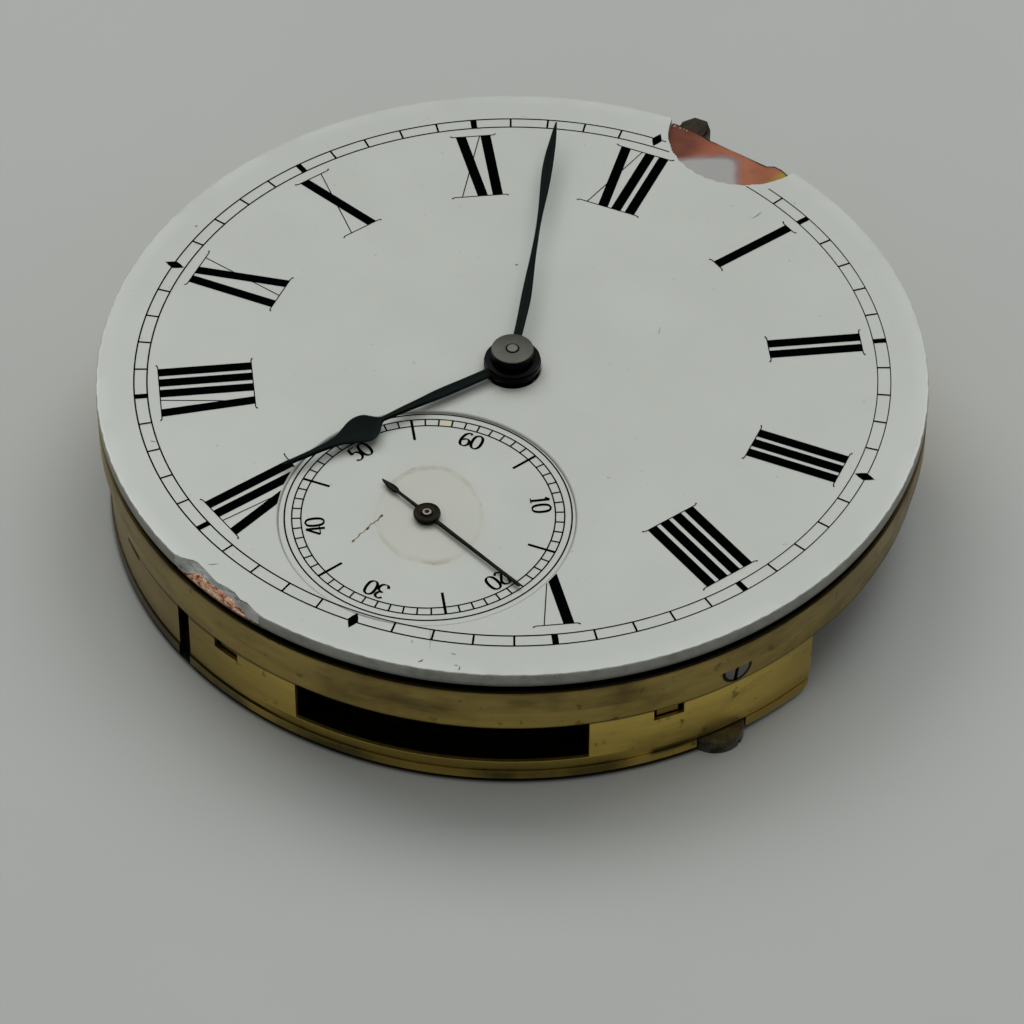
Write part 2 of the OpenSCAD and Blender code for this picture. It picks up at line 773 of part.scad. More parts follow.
module pillar_plate() color("goldenrod") {
    tongue_span = tongue_w / bridge_r * 180 / PI;
    difference() {
        union() {
            rod(plate_r, z_plate, z_edge);
            rod(boss_r, z_plate, z_floor);
            for (a = tongue_az)
                sector(wall_in_r, bridge_r - tongue_back, a - tongue_span / 2, a + tongue_span / 2,
                    z_plate - notch_h + fit_pass, z_plate + plate_t / 2);
        }
        rod(centre_tip_r + 0.3, z_plate - cut, z_sink);
        at(barrel) rod(barrel_tip_r + 0.3, z_plate - cut, z_plate + barrel_sink_h);
        at(third) rod(third_leaf_r + 0.3, z_plate - cut, z_sink);
        rod(centre_r + fit_run, z_plate, z_floor + cut);
        at(barrel) rod(barrel_pivot_r + fit_run, z_plate, z_edge);
        for (b = plate_bearings) at(b) rod(jewel_r + fit_seat, z_plate - cut, z_floor + cut);
        at(minute_axis) rod(0.3 + fit_seat, z_sink + 0.3 - fit_seat, z_floor + cut);
        dial_feet_holes(fit_run, z_dial_screw - 0.5 - fit_run, z_floor + cut);
        along_dial_screws() {
            rod(dial_head_d / 2 + fit_run, -cut, dial_head_h + fit_seat);
            rod(dial_shank_d / 2 + fit_seat, 0, plate_r - foot_ring_r);
        }
        bridge_screw_holes(concat(train_screw_az, barrel_screw_az, [cock_screw_az]), fit_seat,
            z_plate - cut, z_plate + shank_in + fit_seat);
        at(pallet_foot) rod(pallet_shank_r + fit_seat, z_plate - cut, z_plate + 0.7);
        for (p = banking_axes) at(p) rod(banking_r + fit_seat, z_plate - cut, z_plate + 0.5);
    }
}
barrel_pivot_r = 0.8;

// A full round of the bridges' web, wall and lip, before it is divided
module bridge_blank() {
    lip_r = bridge_r + lip_out;
    bevel = 0.28;
    groove = 0.05;
    rotate_extrude() polygon([
        [0, 0], [lip_r - bevel, 0], [lip_r, bevel], [lip_r, lip_h], [bridge_r - groove, lip_h],
        [bridge_r - groove, lip_h + groove], [bridge_r, lip_h + groove], [bridge_r, z_plate],
        [wall_in_r, z_plate], [wall_in_r, z_web], [0, z_web]
    ]);
}

// The open space round the balance, through the full height of the bridges
module balance_space() {
    at(balance) rod(open_r, -cut, z_plate + cut);
    translate([0, 0, -cut]) linear_extrude(z_plate + 2 * cut) polygon([
        balance, balance + 3 * (polar(bridge_r, train_end_az) - balance), polar(2 * far, 20),
        balance + 3 * (polar(bridge_r, barrel_end_az) - balance)
    ]);
}

// The worn lower corner of the train bridge's end, as a cut along that end
module train_end_corner() {
    end = polar(bridge_r, train_end_az);
    at(end) rotate([0, 0, heading(balance, end)]) translate([-6, 0, 0]) rotate([90, 0, 90])
        linear_extrude(8) polygon([
            [cut, 2], [0.06, 2], [-0.22, 0.72], [-0.75, -0.02], [-0.75, -cut], [cut, -cut]
        ]);
}

// A straight cut of the slot's width from one point to another
module slot_between(a, b) {
    at(a, -cut) rotate([0, 0, heading(a, b)]) translate([0, -slot_w / 2, 0])
        cube([norm(b - a), slot_w, z_plate + 2 * cut]);
}

module split() {
    slot_between(knee, slot_end);
    slot_between(knee, split_end);
    at(knee) rod(slot_w / 2, -cut, z_plate + cut);
}

module window() {
    sector(wall_in_r - cut, bridge_r + 2, window_from, window_to, window_sill, z_plate + cut);
}

module wall_notches() {
    span = notch_w / bridge_r * 180 / PI;
    for (a = tongue_az)
        sector(wall_in_r - cut, bridge_r + cut, a - span / 2, a + span / 2,
            z_plate - notch_h, z_plate + cut);
}

module screw_bosses(dirs) {
    for (a = dirs) at(polar(screw_ring_r, a)) rod(screw_boss_r, z_web / 2, z_plate);
}

// Through holes and head recesses of the bridge screws
module screw_recesses(dirs, face) {
    bridge_screw_holes(dirs, fit_run, -cut, z_plate + cut);
    for (a = dirs)
        at(polar(screw_ring_r, a)) rod(bridge_head_d / 2 + fit_run, -cut, face + head_sink + bridge_head_h);
}

module case_screw_holes() {
    for (a = case_screw_az) at(polar(case_screw_r, a)) {
        rod(case_head_d / 2 + fit_pass, -cut, case_head_h + 0.05);
        rod(case_shank_d / 2 + fit_seat, 0, z_plate - notch_h);
    }
}

module train_bridge() color("darkgoldenrod") {
    difference() {
        intersection() {
            union() {
                bridge_blank();
                screw_bosses(train_screw_az);
            }
            translate([0, 0, -cut]) linear_extrude(z_plate + 2 * cut)
                polygon([slot_end, knee, split_by_balance, balance, [far, 0], [far, -far]]);
        }
        split();
        balance_space();
        train_end_corner();
        window();
        wall_notches();
        screw_recesses(train_screw_az, 0);
        case_screw_holes();
        for (b = bridge_bearings) at(b) rod(jewel_r + fit_seat, -cut, z_web + cut);
        rod(centre_r + fit_run, -cut, z_web + cut);
        rod(well_r, -cut, well_depth);
    }
}

module barrel_bridge() color("darkgoldenrod") {
    difference() {
        intersection() {
            union() {
                bridge_blank();
                screw_bosses(barrel_screw_az);
            }
            translate([0, 0, -cut]) linear_extrude(z_plate + 2 * cut)
                polygon([slot_end, knee, split_end, [split_end[0], far], [-far, far], [-far, slot_end[1]]]);
        }
        split();
        balance_space();
        wall_notches();
        screw_recesses(barrel_screw_az, 0);
        case_screw_holes();
        at(barrel) rod(ratchet_r + 0.25, -cut, ratchet_sink);
        at(click_axis) rod(click_pocket_r, -cut, ratchet_sink);
        at(click_axis) rod(click_shank_r + fit_seat, -cut, z_web + cut);
        at(barrel) rod(arbor_bridge_r + fit_run, -cut, z_web + cut);
    }
}
arbor_bridge_r = 1;

module bridge_screws() color("lightsteelblue") {
    dirs = concat(train_screw_az, barrel_screw_az);
    for (i = [0 : len(dirs) - 1])
        at(polar(screw_ring_r, dirs[i]), head_sink + bridge_head_h) slotted_screw(bridge_head_d / 2,
            bridge_head_h, bridge_shank_d / 2, z_plate + shank_in - head_sink - bridge_head_h, 40 * i);
    at(polar(screw_ring_r, cock_screw_az), z_cock + head_sink + bridge_head_h)
        slotted_screw(bridge_head_d / 2, bridge_head_h, bridge_shank_d / 2,
            z_plate + shank_in - z_cock - head_sink - bridge_head_h, 15);
}

module case_screws() color("dimgray") {
    for (a = case_screw_az)
        at(polar(case_screw_r, a), case_head_h) slotted_screw(case_head_d / 2, case_head_h,
            case_shank_d / 2, z_plate - notch_h - case_head_h - fit_pass, a + 25);
}

module jewel(hole_r, z0) {
    ring(jewel_r, hole_r + fit_run, z0, z0 + jewel_t);
}

module jewels() color("crimson") {
    at(third) jewel(pivot_d / 2, z_sink);
    at(fourth) jewel(arbor_d / 2, z_plate);
    for (p = [escape, pallet]) at(p) jewel(pivot_d / 2, z_plate);
    at(balance) jewel(staff_pivot_r, z_plate);
    for (p = bridge_bearings) at(p) jewel(pivot_d / 2, z_web - jewel_t);
    at(balance) jewel(staff_pivot_r, z_cock);
    at(pallet) ring(pallet_jewel_r, pivot_d / 2 + fit_run, z_pallet_cock, z_pallet_cock + pallet_cock_t);
}
pallet_jewel_r = 0.4;

// Barrel and winding

module barrel_drum() color("goldenrod") {
    at(barrel) difference() {
        union() {
            gear(barrel_teeth, m_barrel, wheel_add, wheel_ded, z_barrel_teeth, barrel_teeth_t,
                barrel_az + 180);
            rod(drum_r, z_barrel, z_barrel_top);
        }
        rod(drum_in_r, z_barrel - cut, z_barrel_teeth);
        rod(barrel_pivot_r + fit_run, z_barrel, z_barrel_top + cut);
    }
}

module barrel_cover() color("goldenrod") {
    at(barrel) ring(drum_in_r - fit_seat, arbor_bridge_r + fit_run, z_barrel, z_barrel + cover_t);
}

module mainspring() color("steelblue") {
    z0 = z_barrel + cover_t + fit_pass;
    at(barrel, z0) linear_extrude(z_barrel_teeth - fit_pass - z0)
        polygon(spiral_outline(main_in_r, main_pitch, main_turns, main_t, 24));
}

module barrel_arbor() color("lightsteelblue") {
    z0 = z_barrel + cover_t + fit_pass;
    at(barrel) {
        rod(core_r, z0, z_barrel_teeth - fit_pass);
        rod(barrel_pivot_r, z0, z_edge - fit_pass);
        rod(arbor_bridge_r, ratchet_sink, z0 + cut);
        translate([-square_w / 2, -square_w / 2, fit_pass / 2])
            cube([square_w, square_w, ratchet_sink + cut]);
    }
}

module ratchet_wheel() color("lightsteelblue") {
    hole = square_w + 2 * fit_seat;
    at(barrel, z_ratchet) difference() {
        rotate([0, 0, click_az]) linear_extrude(ratchet_t)
            polygon(saw_outline(ratchet_teeth, ratchet_r, ratchet_r - 0.5, 0.95));
        translate([-hole / 2, -hole / 2, -cut]) cube([hole, hole, ratchet_t + 2 * cut]);
    }
}

// The click rides on the tips of the ratchet's teeth
module click() color("lightsteelblue") {
    reach = click_gap - ratchet_r - fit_pass;
    at(click_axis, z_ratchet) difference() {
        union() {
            rod(click_hub_r, 0, ratchet_t);
            rotate([0, 0, click_az + 180]) linear_extrude(ratchet_t)
                polygon([[0, -0.75], [reach, -0.35], [reach, 0.05], [0, 0.75]]);
        }
        rod(click_shank_r + fit_run, -cut, ratchet_t + cut);
    }
}

module click_screw() color("lightsteelblue") {
    at(click_axis, z_ratchet - fit_pass)
        slotted_screw(click_hub_r - 0.1, 0.45, click_shank_r, z_web - z_ratchet, 70);
}

module click_spring() color("steelblue") {
    at(click_axis) sector(click_pocket_r - 0.35, click_pocket_r - fit_seat, click_az - 70, click_az + 70,
        z_ratchet, ratchet_sink);
}

// Going train

module centre_wheel() color("goldenrod") {
    train_wheel(centre_teeth, m_centre, z_centre_wheel, centre_r + fit_seat, 5, heading(centre, third));
}

module centre_pinion() color("lightsteelblue") {
    square = centre_arbor_d * 0.68;
    pinion(train_leaves, m_barrel, z_barrel_teeth - fit_pass, barrel_teeth_t + 2 * fit_pass, centre_r,
        well_depth, z_minute_top - 0.4, barrel_az);
    rod(cannon_tip_r, z_minute_top - 0.5, z_minute_top + 0.04);
    translate([-square / 2, -square / 2, fit_pass / 2]) cube([square, square, well_depth]);
}

// Pivots at both ends of an arbor, reaching into the bearing jewels
module pivots(z0, z1) {
    rod(pivot_d / 2, z0 - shoulder - pivot_l + fit_pass, z0 + cut);
    rod(pivot_d / 2, z1 - cut, z1 + shoulder + pivot_l - fit_pass);
}

module third_wheel() color("goldenrod") {
    at(third) train_wheel(third_teeth, m_third, z_third_wheel, arbor_d / 2 + fit_seat, 5,
        heading(third, fourth));
}

module third_pinion() color("lightsteelblue") {
    at(third) {
        pinion(train_leaves, m_centre, z_centre_wheel + wheel_t / 2 - leaf_h / 2, leaf_h, arbor_d / 2,
            z_web + shoulder, z_sink - shoulder, heading(third, centre));
        pivots(z_web + shoulder, z_sink - shoulder);
    }
}

module fourth_wheel() color("goldenrod") {
    at(fourth) train_wheel(fourth_teeth, m_fourth, z_fourth_wheel, arbor_d / 2 + fit_seat, 5, escape_az);
}

module fourth_pinion() color("lightsteelblue") {
    at(fourth) {
        pinion(train_leaves, m_third, z_third_wheel + wheel_t / 2 - leaf_h / 2, leaf_h, arbor_d / 2,
            z_web + shoulder, z_seconds_hub + seconds_hub_h + 0.02, heading(fourth, third));
        rod(pivot_d / 2, z_web - pivot_l + fit_pass, z_web + cut);
    }
}

module escape_wheel() color("lightsteelblue") {
    at(escape) difference() {
        translate([0, 0, z_escape]) linear_extrude(wheel_t)
            polygon(saw_outline(escape_teeth, escape_r, escape_r - 0.75, 0.6));
        crossings(0.95, escape_r - 1.1, 4, 0.5, z_escape, wheel_t, 0);
        rod(escape_arbor_r + fit_seat, z_escape - cut, z_escape + wheel_t + cut);
    }
}
escape_arbor_r = 0.24;

module escape_pinion() color("lightsteelblue") {
    at(escape) {
        pinion(escape_leaves, m_fourth, z_fourth_wheel + wheel_t / 2 - leaf_h / 2, leaf_h, escape_arbor_r,
            z_web + shoulder, z_plate - shoulder, escape_az + 180);
        pivots(z_web + shoulder, z_plate - shoulder);
    }
}

// Lever

stone_spread = 32;
stones = [for (side = [-1, 1]) escape + polar(escape_r + 0.2, lever_az + side * stone_spread)];
pallet_arbor_r = 0.2;
across = polar(1, lever_az - 90);
pallet_foot_off = 3.4;
pallet_foot_r = 1.1;
pallet_cock_w = 1.4;
pallet_foot = pallet + grow * pallet_foot_off * across;
pallet_shank_r = 0.3;
pallet_head_r = 0.55;
banking_r = 0.15;
banking_off = 3.5;
banking_along = grow * banking_off;
lever_half_w = 0.25;
banking_out = lever_half_w + banking_along * tan(lever_swing) + banking_r + 0.05;
banking_axes = [for (side = [-1, 1]) pallet + polar(banking_along, lever_az) + side * banking_out * across];

module pallet_lever() color("lightsteelblue") {
    horn = fork_len - 0.85;
    notch = fork_len - impulse_r - 0.25;
    at(pallet, z_lever) difference() {
        union() {
            rod(0.6, 0, lever_t);
            rotate([0, 0, lever_az]) linear_extrude(lever_t) polygon([
                [0, -lever_half_w], [notch - 0.4, -lever_half_w], [notch, -0.5], [horn, -0.5],
                [horn, -0.2], [notch, -0.2], [notch, 0.2], [horn, 0.2], [horn, 0.5], [notch, 0.5],
                [notch - 0.4, lever_half_w], [0, lever_half_w]
            ]);
            for (s = stones)
                rotate([0, 0, heading(pallet, s)]) translate([0, -0.25, 0])
                    cube([norm(s - pallet) - 0.3, 0.5, lever_t]);
        }
        rod(pallet_arbor_r + fit_seat, -cut, lever_t + cut);
    }
}

module pallet_stones() color("crimson") {
    for (s = stones)
        at(pallet, z_lever) rotate([0, 0, heading(pallet, s)])
            translate([norm(s - pallet) - 0.3 + fit_seat, -0.2, 0])
                cube([0.6, 0.4, lever_t]);
}

module pallet_arbor() color("lightsteelblue") {
    z0 = z_pallet_cock + pallet_cock_t + 0.06;
    at(pallet) {
        rod(pallet_arbor_r, z0, z_plate - shoulder);
        rod(pivot_d / 2, z_pallet_cock + fit_pass, z0 + cut);
        rod(pivot_d / 2, z_plate - cut, z_plate + pivot_l - fit_pass);
    }
}

module pallet_cock() color("darkgoldenrod") {
    head_h = 0.2;
    difference() {
        union() {
            at(pallet) rod(pallet_cock_w * 0.64, z_pallet_cock, z_pallet_cock + pallet_cock_t);
            at(pallet, z_pallet_cock) rotate([0, 0, lever_az - 90]) translate([0, -pallet_cock_w / 2, 0])
                cube([norm(pallet_foot - pallet), pallet_cock_w, pallet_cock_t]);
            at(pallet_foot) rod(pallet_foot_r, z_pallet_cock, z_plate);
        }
        at(pallet) rod(pallet_jewel_r + fit_seat, z_pallet_cock - cut, z_plate);
        at(pallet_foot) rod(pallet_shank_r + fit_seat, z_pallet_cock - cut, z_plate + cut);
        at(pallet_foot) rod(pallet_head_r + fit_run, z_pallet_cock - cut, z_pallet_cock + head_h);
    }
}

module pallet_cock_screw() color("lightsteelblue") {
    head_h = 0.2;
    at(pallet_foot, z_pallet_cock + head_h)
        slotted_screw(pallet_head_r, head_h, pallet_shank_r, z_plate + 0.6 - z_pallet_cock - head_h, 30);
}

module banking_pins() color("lightsteelblue") {
    for (p = banking_axes) at(p) rod(banking_r, z_lever - fit_pass, z_plate + 0.45);
}

// Balance

module balance_wheel() color("goldenrod") {
    z_arm = z_balance + 0.2;
    at(balance) difference() {
        union() {
            ring(balance_rim_r, balance_rim_r - balance_rim_w, z_balance, z_balance_in);
            rod(0.95, z_arm, z_arm + 0.3);
            rotate([0, 0, cock_az]) translate([0.5 - balance_rim_r, -0.5, z_arm])
                cube([2 * balance_rim_r - 1, 1, 0.25]);
        }
        rod(staff_r + fit_seat, z_balance - cut, z_balance_in + cut);
    }
}

module balance_screws() color("gold") {
    pairs = 6;
    for (i = [0 : 2 * pairs - 1])
        at(balance, z_balance + balance_rim_h / 2) rotate([0, 0, cock_az + 180 / pairs * (i + 0.5)])
            translate([balance_rim_r + fit_seat, 0, 0]) rotate([0, 90, 0])
                cylinder(r = balance_rim_h / 2, h = balance_screw_out - fit_seat);
}

module balance_staff() color("lightsteelblue") {
    at(balance) {
        rod(staff_r, z_cock + jewel_t + shoulder, z_plate - shoulder);
        rod(staff_pivot_r, z_cock + fit_pass, z_plate + jewel_t - fit_pass);
    }
}

module roller_table() color("lightsteelblue") {
    at(balance) difference() {
        ring(roller_r, staff_r + fit_seat, z_roller, z_roller + roller_t);
        at(polar(impulse_r, lever_az + 180)) rod(impulse_pin_r + fit_seat, z_roller - cut, z_lever);
    }
}

module impulse_pin() color("crimson") {
    at(balance + polar(impulse_r, lever_az + 180)) rod(impulse_pin_r, z_roller, z_lever - fit_pass);
}

// The outer end of the hairspring lies under the cock, where the stud holds it
module hairspring() color("steelblue") {
    at(balance, z_spring) rotate([0, 0, cock_az]) linear_extrude(spring_h)
        polygon(spiral_outline(spring_in_r, spring_pitch, spring_turns, spring_t, 24));
}

module hairspring_collet() color("goldenrod") {
    at(balance) difference() {
        union() {
            ring(collet_r, staff_r + fit_seat, z_spring, z_spring + spring_h);
            rotate([0, 0, cock_az]) translate([collet_r - 0.1, -0.2, z_spring])
                cube([spring_in_r - spring_t / 2 - fit_run - collet_r + 0.1, 0.2, spring_h]);
        }
        rod(staff_r + fit_seat, z_spring - cut, z_spring + spring_h + cut);
    }
}

module hairspring_stud() color("lightsteelblue") {
    at(balance) rotate([0, 0, cock_az]) translate([spring_out_r + spring_t / 2 + fit_seat, -0.3, z_cock_in])
        cube([0.6, 0.6, fit_pass + spring_h]);
}

module regulator() color("lightsteelblue") {
    t = cock_sink - fit_pass;
    z0 = fit_pass / 2;
    curb_az = cock_az + 180;
    at(balance) {
        difference() {
            union() {
                rod(index_r, z0, z0 + t);
                translate([0, 0, z0]) rotate([0, 0, cock_az]) linear_extrude(t)
                    polygon(blade_outline([
                        [cock_boss_r, index_w], [0.45 * index_len, index_w / 2],
                        [0.92 * index_len, index_w / 5], [index_len, index_w / 20]
                    ]));
                translate([0, 0, z0]) rotate([0, 0, curb_az]) linear_extrude(t)
                    polygon(blade_outline([[cock_boss_r, index_w], [curb_r + 0.4, 0.35]]));
            }
            rod(cock_boss_r + fit_run, -cut, z_cock);
        }
        for (side = [-1, 1]) at(polar(curb_r + side * curb_reach, curb_az))
            rod(curb_pin_r, z0, z_spring + spring_h);
    }
}

module balance_cock() color("darkgoldenrod") {
    corner_out = open_r + 1.2;
    left = balance + polar(corner_out, barrel_side_az) + polar(cock_clear, barrel_side_az - 90);
    right = polar(norm(left), cock_foot_az - cock_span / 2);
    difference() {
        union() {
            intersection() {
                rod(bridge_r, z_cock, z_plate);
                translate([0, 0, z_cock]) linear_extrude(z_plate - z_cock) polygon([
                    left, left + polar(far, barrel_side_az), polar(far, cock_foot_az), 2 * right, right
                ]);
            }
            translate([0, 0, z_cock]) linear_extrude(cock_t) polygon([
                balance + polar(cock_end_r, cock_az - 90), right, polar(norm(left) + 2, cock_foot_az),
                left, balance + polar(cock_end_r, cock_az + 90)
            ]);
            at(balance) rod(cock_end_r, z_cock, z_cock_in);
            at(balance) rod(cock_boss_r, fit_pass / 2, z_cock_in);
        }
        at(balance) rod(open_r, z_cock_in, z_plate + cut);
        at(balance) rod(jewel_r + fit_seat, -cut, z_cock_in + cut);
        screw_recesses([cock_screw_az], z_cock);
    }
}

dial_enamel();
dial_copper();
seconds_dial();
dial_feet();
dial_screws();
hour_hand();
minute_hand();
seconds_hand();
cannon_pinion();
minute_wheel();
minute_post();
hour_wheel();
brass_edge();
pillar_plate();
train_bridge();
barrel_bridge();
bridge_screws();
case_screws();
case_lug();
jewels();
barrel_drum();
barrel_cover();
mainspring();
barrel_arbor();
ratchet_wheel();
click();
click_screw();
click_spring();
centre_wheel();
centre_pinion();
third_wheel();
third_pinion();
fourth_wheel();
fourth_pinion();
escape_wheel();
escape_pinion();
pallet_lever();
pallet_stones();
pallet_arbor();
pallet_cock();
pallet_cock_screw();
banking_pins();
balance_wheel();
balance_screws();
balance_staff();
roller_table();
impulse_pin();
hairspring();
hairspring_collet();
hairspring_stud();
regulator();
balance_cock();
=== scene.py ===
"""Looks of the pocket watch movement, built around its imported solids."""

import bpy
import math
import random
from mathutils import Matrix, Quaternion, Vector


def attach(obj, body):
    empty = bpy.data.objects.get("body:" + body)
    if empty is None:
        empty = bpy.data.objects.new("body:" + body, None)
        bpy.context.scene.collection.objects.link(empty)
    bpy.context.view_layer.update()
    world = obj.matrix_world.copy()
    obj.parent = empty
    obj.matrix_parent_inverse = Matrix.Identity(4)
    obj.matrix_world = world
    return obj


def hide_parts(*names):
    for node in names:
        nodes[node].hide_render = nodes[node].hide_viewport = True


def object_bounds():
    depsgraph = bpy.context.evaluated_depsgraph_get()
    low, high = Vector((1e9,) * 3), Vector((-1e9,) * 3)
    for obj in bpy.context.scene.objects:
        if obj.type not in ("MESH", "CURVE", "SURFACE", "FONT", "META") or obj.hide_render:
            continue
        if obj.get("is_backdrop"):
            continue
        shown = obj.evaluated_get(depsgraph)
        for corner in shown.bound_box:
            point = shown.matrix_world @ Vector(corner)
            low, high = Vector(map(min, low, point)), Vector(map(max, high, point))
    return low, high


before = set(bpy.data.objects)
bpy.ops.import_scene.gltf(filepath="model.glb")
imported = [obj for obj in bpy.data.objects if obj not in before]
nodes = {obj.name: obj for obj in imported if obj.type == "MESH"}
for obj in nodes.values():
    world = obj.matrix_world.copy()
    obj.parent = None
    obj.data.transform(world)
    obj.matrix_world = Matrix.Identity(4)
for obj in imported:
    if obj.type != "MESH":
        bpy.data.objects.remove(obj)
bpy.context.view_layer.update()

MM = 0.001
# Radius in metres at which ways round the rim are measured
WAY_R = 0.022
Z_FACE = 8.6
Z_BACK = 7.65
Z_COPPER = 8.25
Z_SECONDS = 8.5
RIM = 22.4
SECONDS_AZ, SECONDS_R = 271.8, 11.95
SLOT_AZ = 241.6
DIAL_SCREW_AZ, DIAL_SCREW_Z, DIAL_SCREW_R = (-34.6, 105.4, -154.6), 5.3, 0.8


def polar(r, a):
    return (r * math.cos(math.radians(a)), r * math.sin(math.radians(a)))


def around(centre, r, a):
    return tuple(c + p for c, p in zip(centre, polar(r, a)))


def facing(a, centre=(0, 0)):
    """Turns a way to the right of a direction and a way along it into a place."""
    right, up = polar(1, a - 90), polar(1, a)
    return lambda x, y: tuple(c + x * r + y * u for c, r, u in zip(centre, right, up))


FOURTH = polar(SECONDS_R, SECONDS_AZ)
SECONDS_DISC = 7.8

# Shader helpers


class Shader:
    """A principled material with short calls for its texture nodes."""

    def __init__(self, name):
        self.mat = bpy.data.materials.new(name)
        self.mat.use_nodes = True
        self.tree = self.mat.node_tree
        self.bsdf = self.tree.nodes["Principled BSDF"]
        self.coord = self.node("TexCoord").outputs["Object"]

    def set(self, **values):
        for key, value in values.items():
            self.bsdf.inputs[key.replace("_", " ")].default_value = value
        return self

    def link(self, out, key):
        self.tree.links.new(out, self.bsdf.inputs[key])

    def put(self, socket, value):
        if isinstance(value, bpy.types.NodeSocket):
            self.tree.links.new(value, socket)
        else:
            socket.default_value = value

    def node(self, kind, **values):
        """A new node with its inputs set or linked by name."""
        n = self.tree.nodes.new("ShaderNode" + kind)
        for key, value in values.items():
            self.put(n.inputs[key.replace("_", " ")], value)
        return n

    def noise(self, scale, detail=4.0, rough=0.6, vector=None, distortion=0.0):
        n = self.node("TexNoise", Vector=vector or self.coord, Scale=scale, Detail=detail,
                      Roughness=rough, Distortion=distortion)
        return n.outputs["Fac"]

    def math(self, op, a, b=0.0):
        n = self.node("Math")
        n.operation = op
        self.put(n.inputs[0], a)
        self.put(n.inputs[1], b)
        return n.outputs[0]

    def times(self, *values):
        out = values[0]
        for value in values[1:]:
            out = self.math("MULTIPLY", out, value)
        return out

    def plus(self, a, b):
        return self.math("ADD", a, b)

    def minus(self, a, b):
        return self.math("SUBTRACT", a, b)

    def hypot(self, a, b):
        return self.math("SQRT", self.plus(self.times(a, a), self.times(b, b)))

    def below(self, value, low, high):
        """1 below low, 0 above high, smooth between."""
        return self.minus(1.0, self.step(value, low, high))

    def step(self, value, low, high):
        """0 below low, 1 above high, smooth between."""
        n = self.node("MapRange", Value=value, From_Min=low, From_Max=high)
        n.interpolation_type = "SMOOTHSTEP"
        return n.outputs["Result"]

    def span(self, value, low, high):
        """The value stretched from 0..1 to low..high."""
        return self.node("MapRange", Value=value, To_Min=low, To_Max=high).outputs["Result"]

    def mix(self, fac, a, b):
        n = self.node("Mix")
        n.data_type = "RGBA"
        self.put(n.inputs[0], fac)
        for socket, value in ((n.inputs[6], a), (n.inputs[7], b)):
            self.put(socket, (*value, 1.0) if isinstance(value, tuple) else value)
        return n.outputs[2]

    def over(self, base, colour, *masks):
        """The base with a colour laid over it, as far as all the masks let it."""
        return self.mix(self.times(*masks), base, colour)

    def scaled(self, sx, sy, sz, vector):
        n = self.node("VectorMath")
        n.operation = "MULTIPLY"
        self.put(n.inputs[0], vector)
        n.inputs[1].default_value = (sx, sy, sz)
        return n.outputs[0]

    def split(self, vector=None):
        return self.node("SeparateXYZ", Vector=vector or self.coord).outputs

    def join(self, x, y, z):
        return self.node("CombineXYZ", X=x, Y=y, Z=z).outputs[0]

    def round_coord(self):
        """Way round the rim, height and radius, all in metres."""
        x, y, z = self.split()
        angle = self.math("ARCTAN2", y, x)
        radius = self.hypot(x, y)
        return self.join(self.times(angle, WAY_R), z, radius), z, radius

    def distance(self, x, y):
        """Distance in the plane from a point given in millimetres."""
        px, py, _ = self.split()
        return self.hypot(self.minus(px, x * MM), self.minus(py, y * MM))

    def bump(self, height, strength, distance_mm):
        n = self.node("Bump", Strength=strength, Distance=distance_mm * MM, Height=height)
        self.link(n.outputs["Normal"], "Normal")


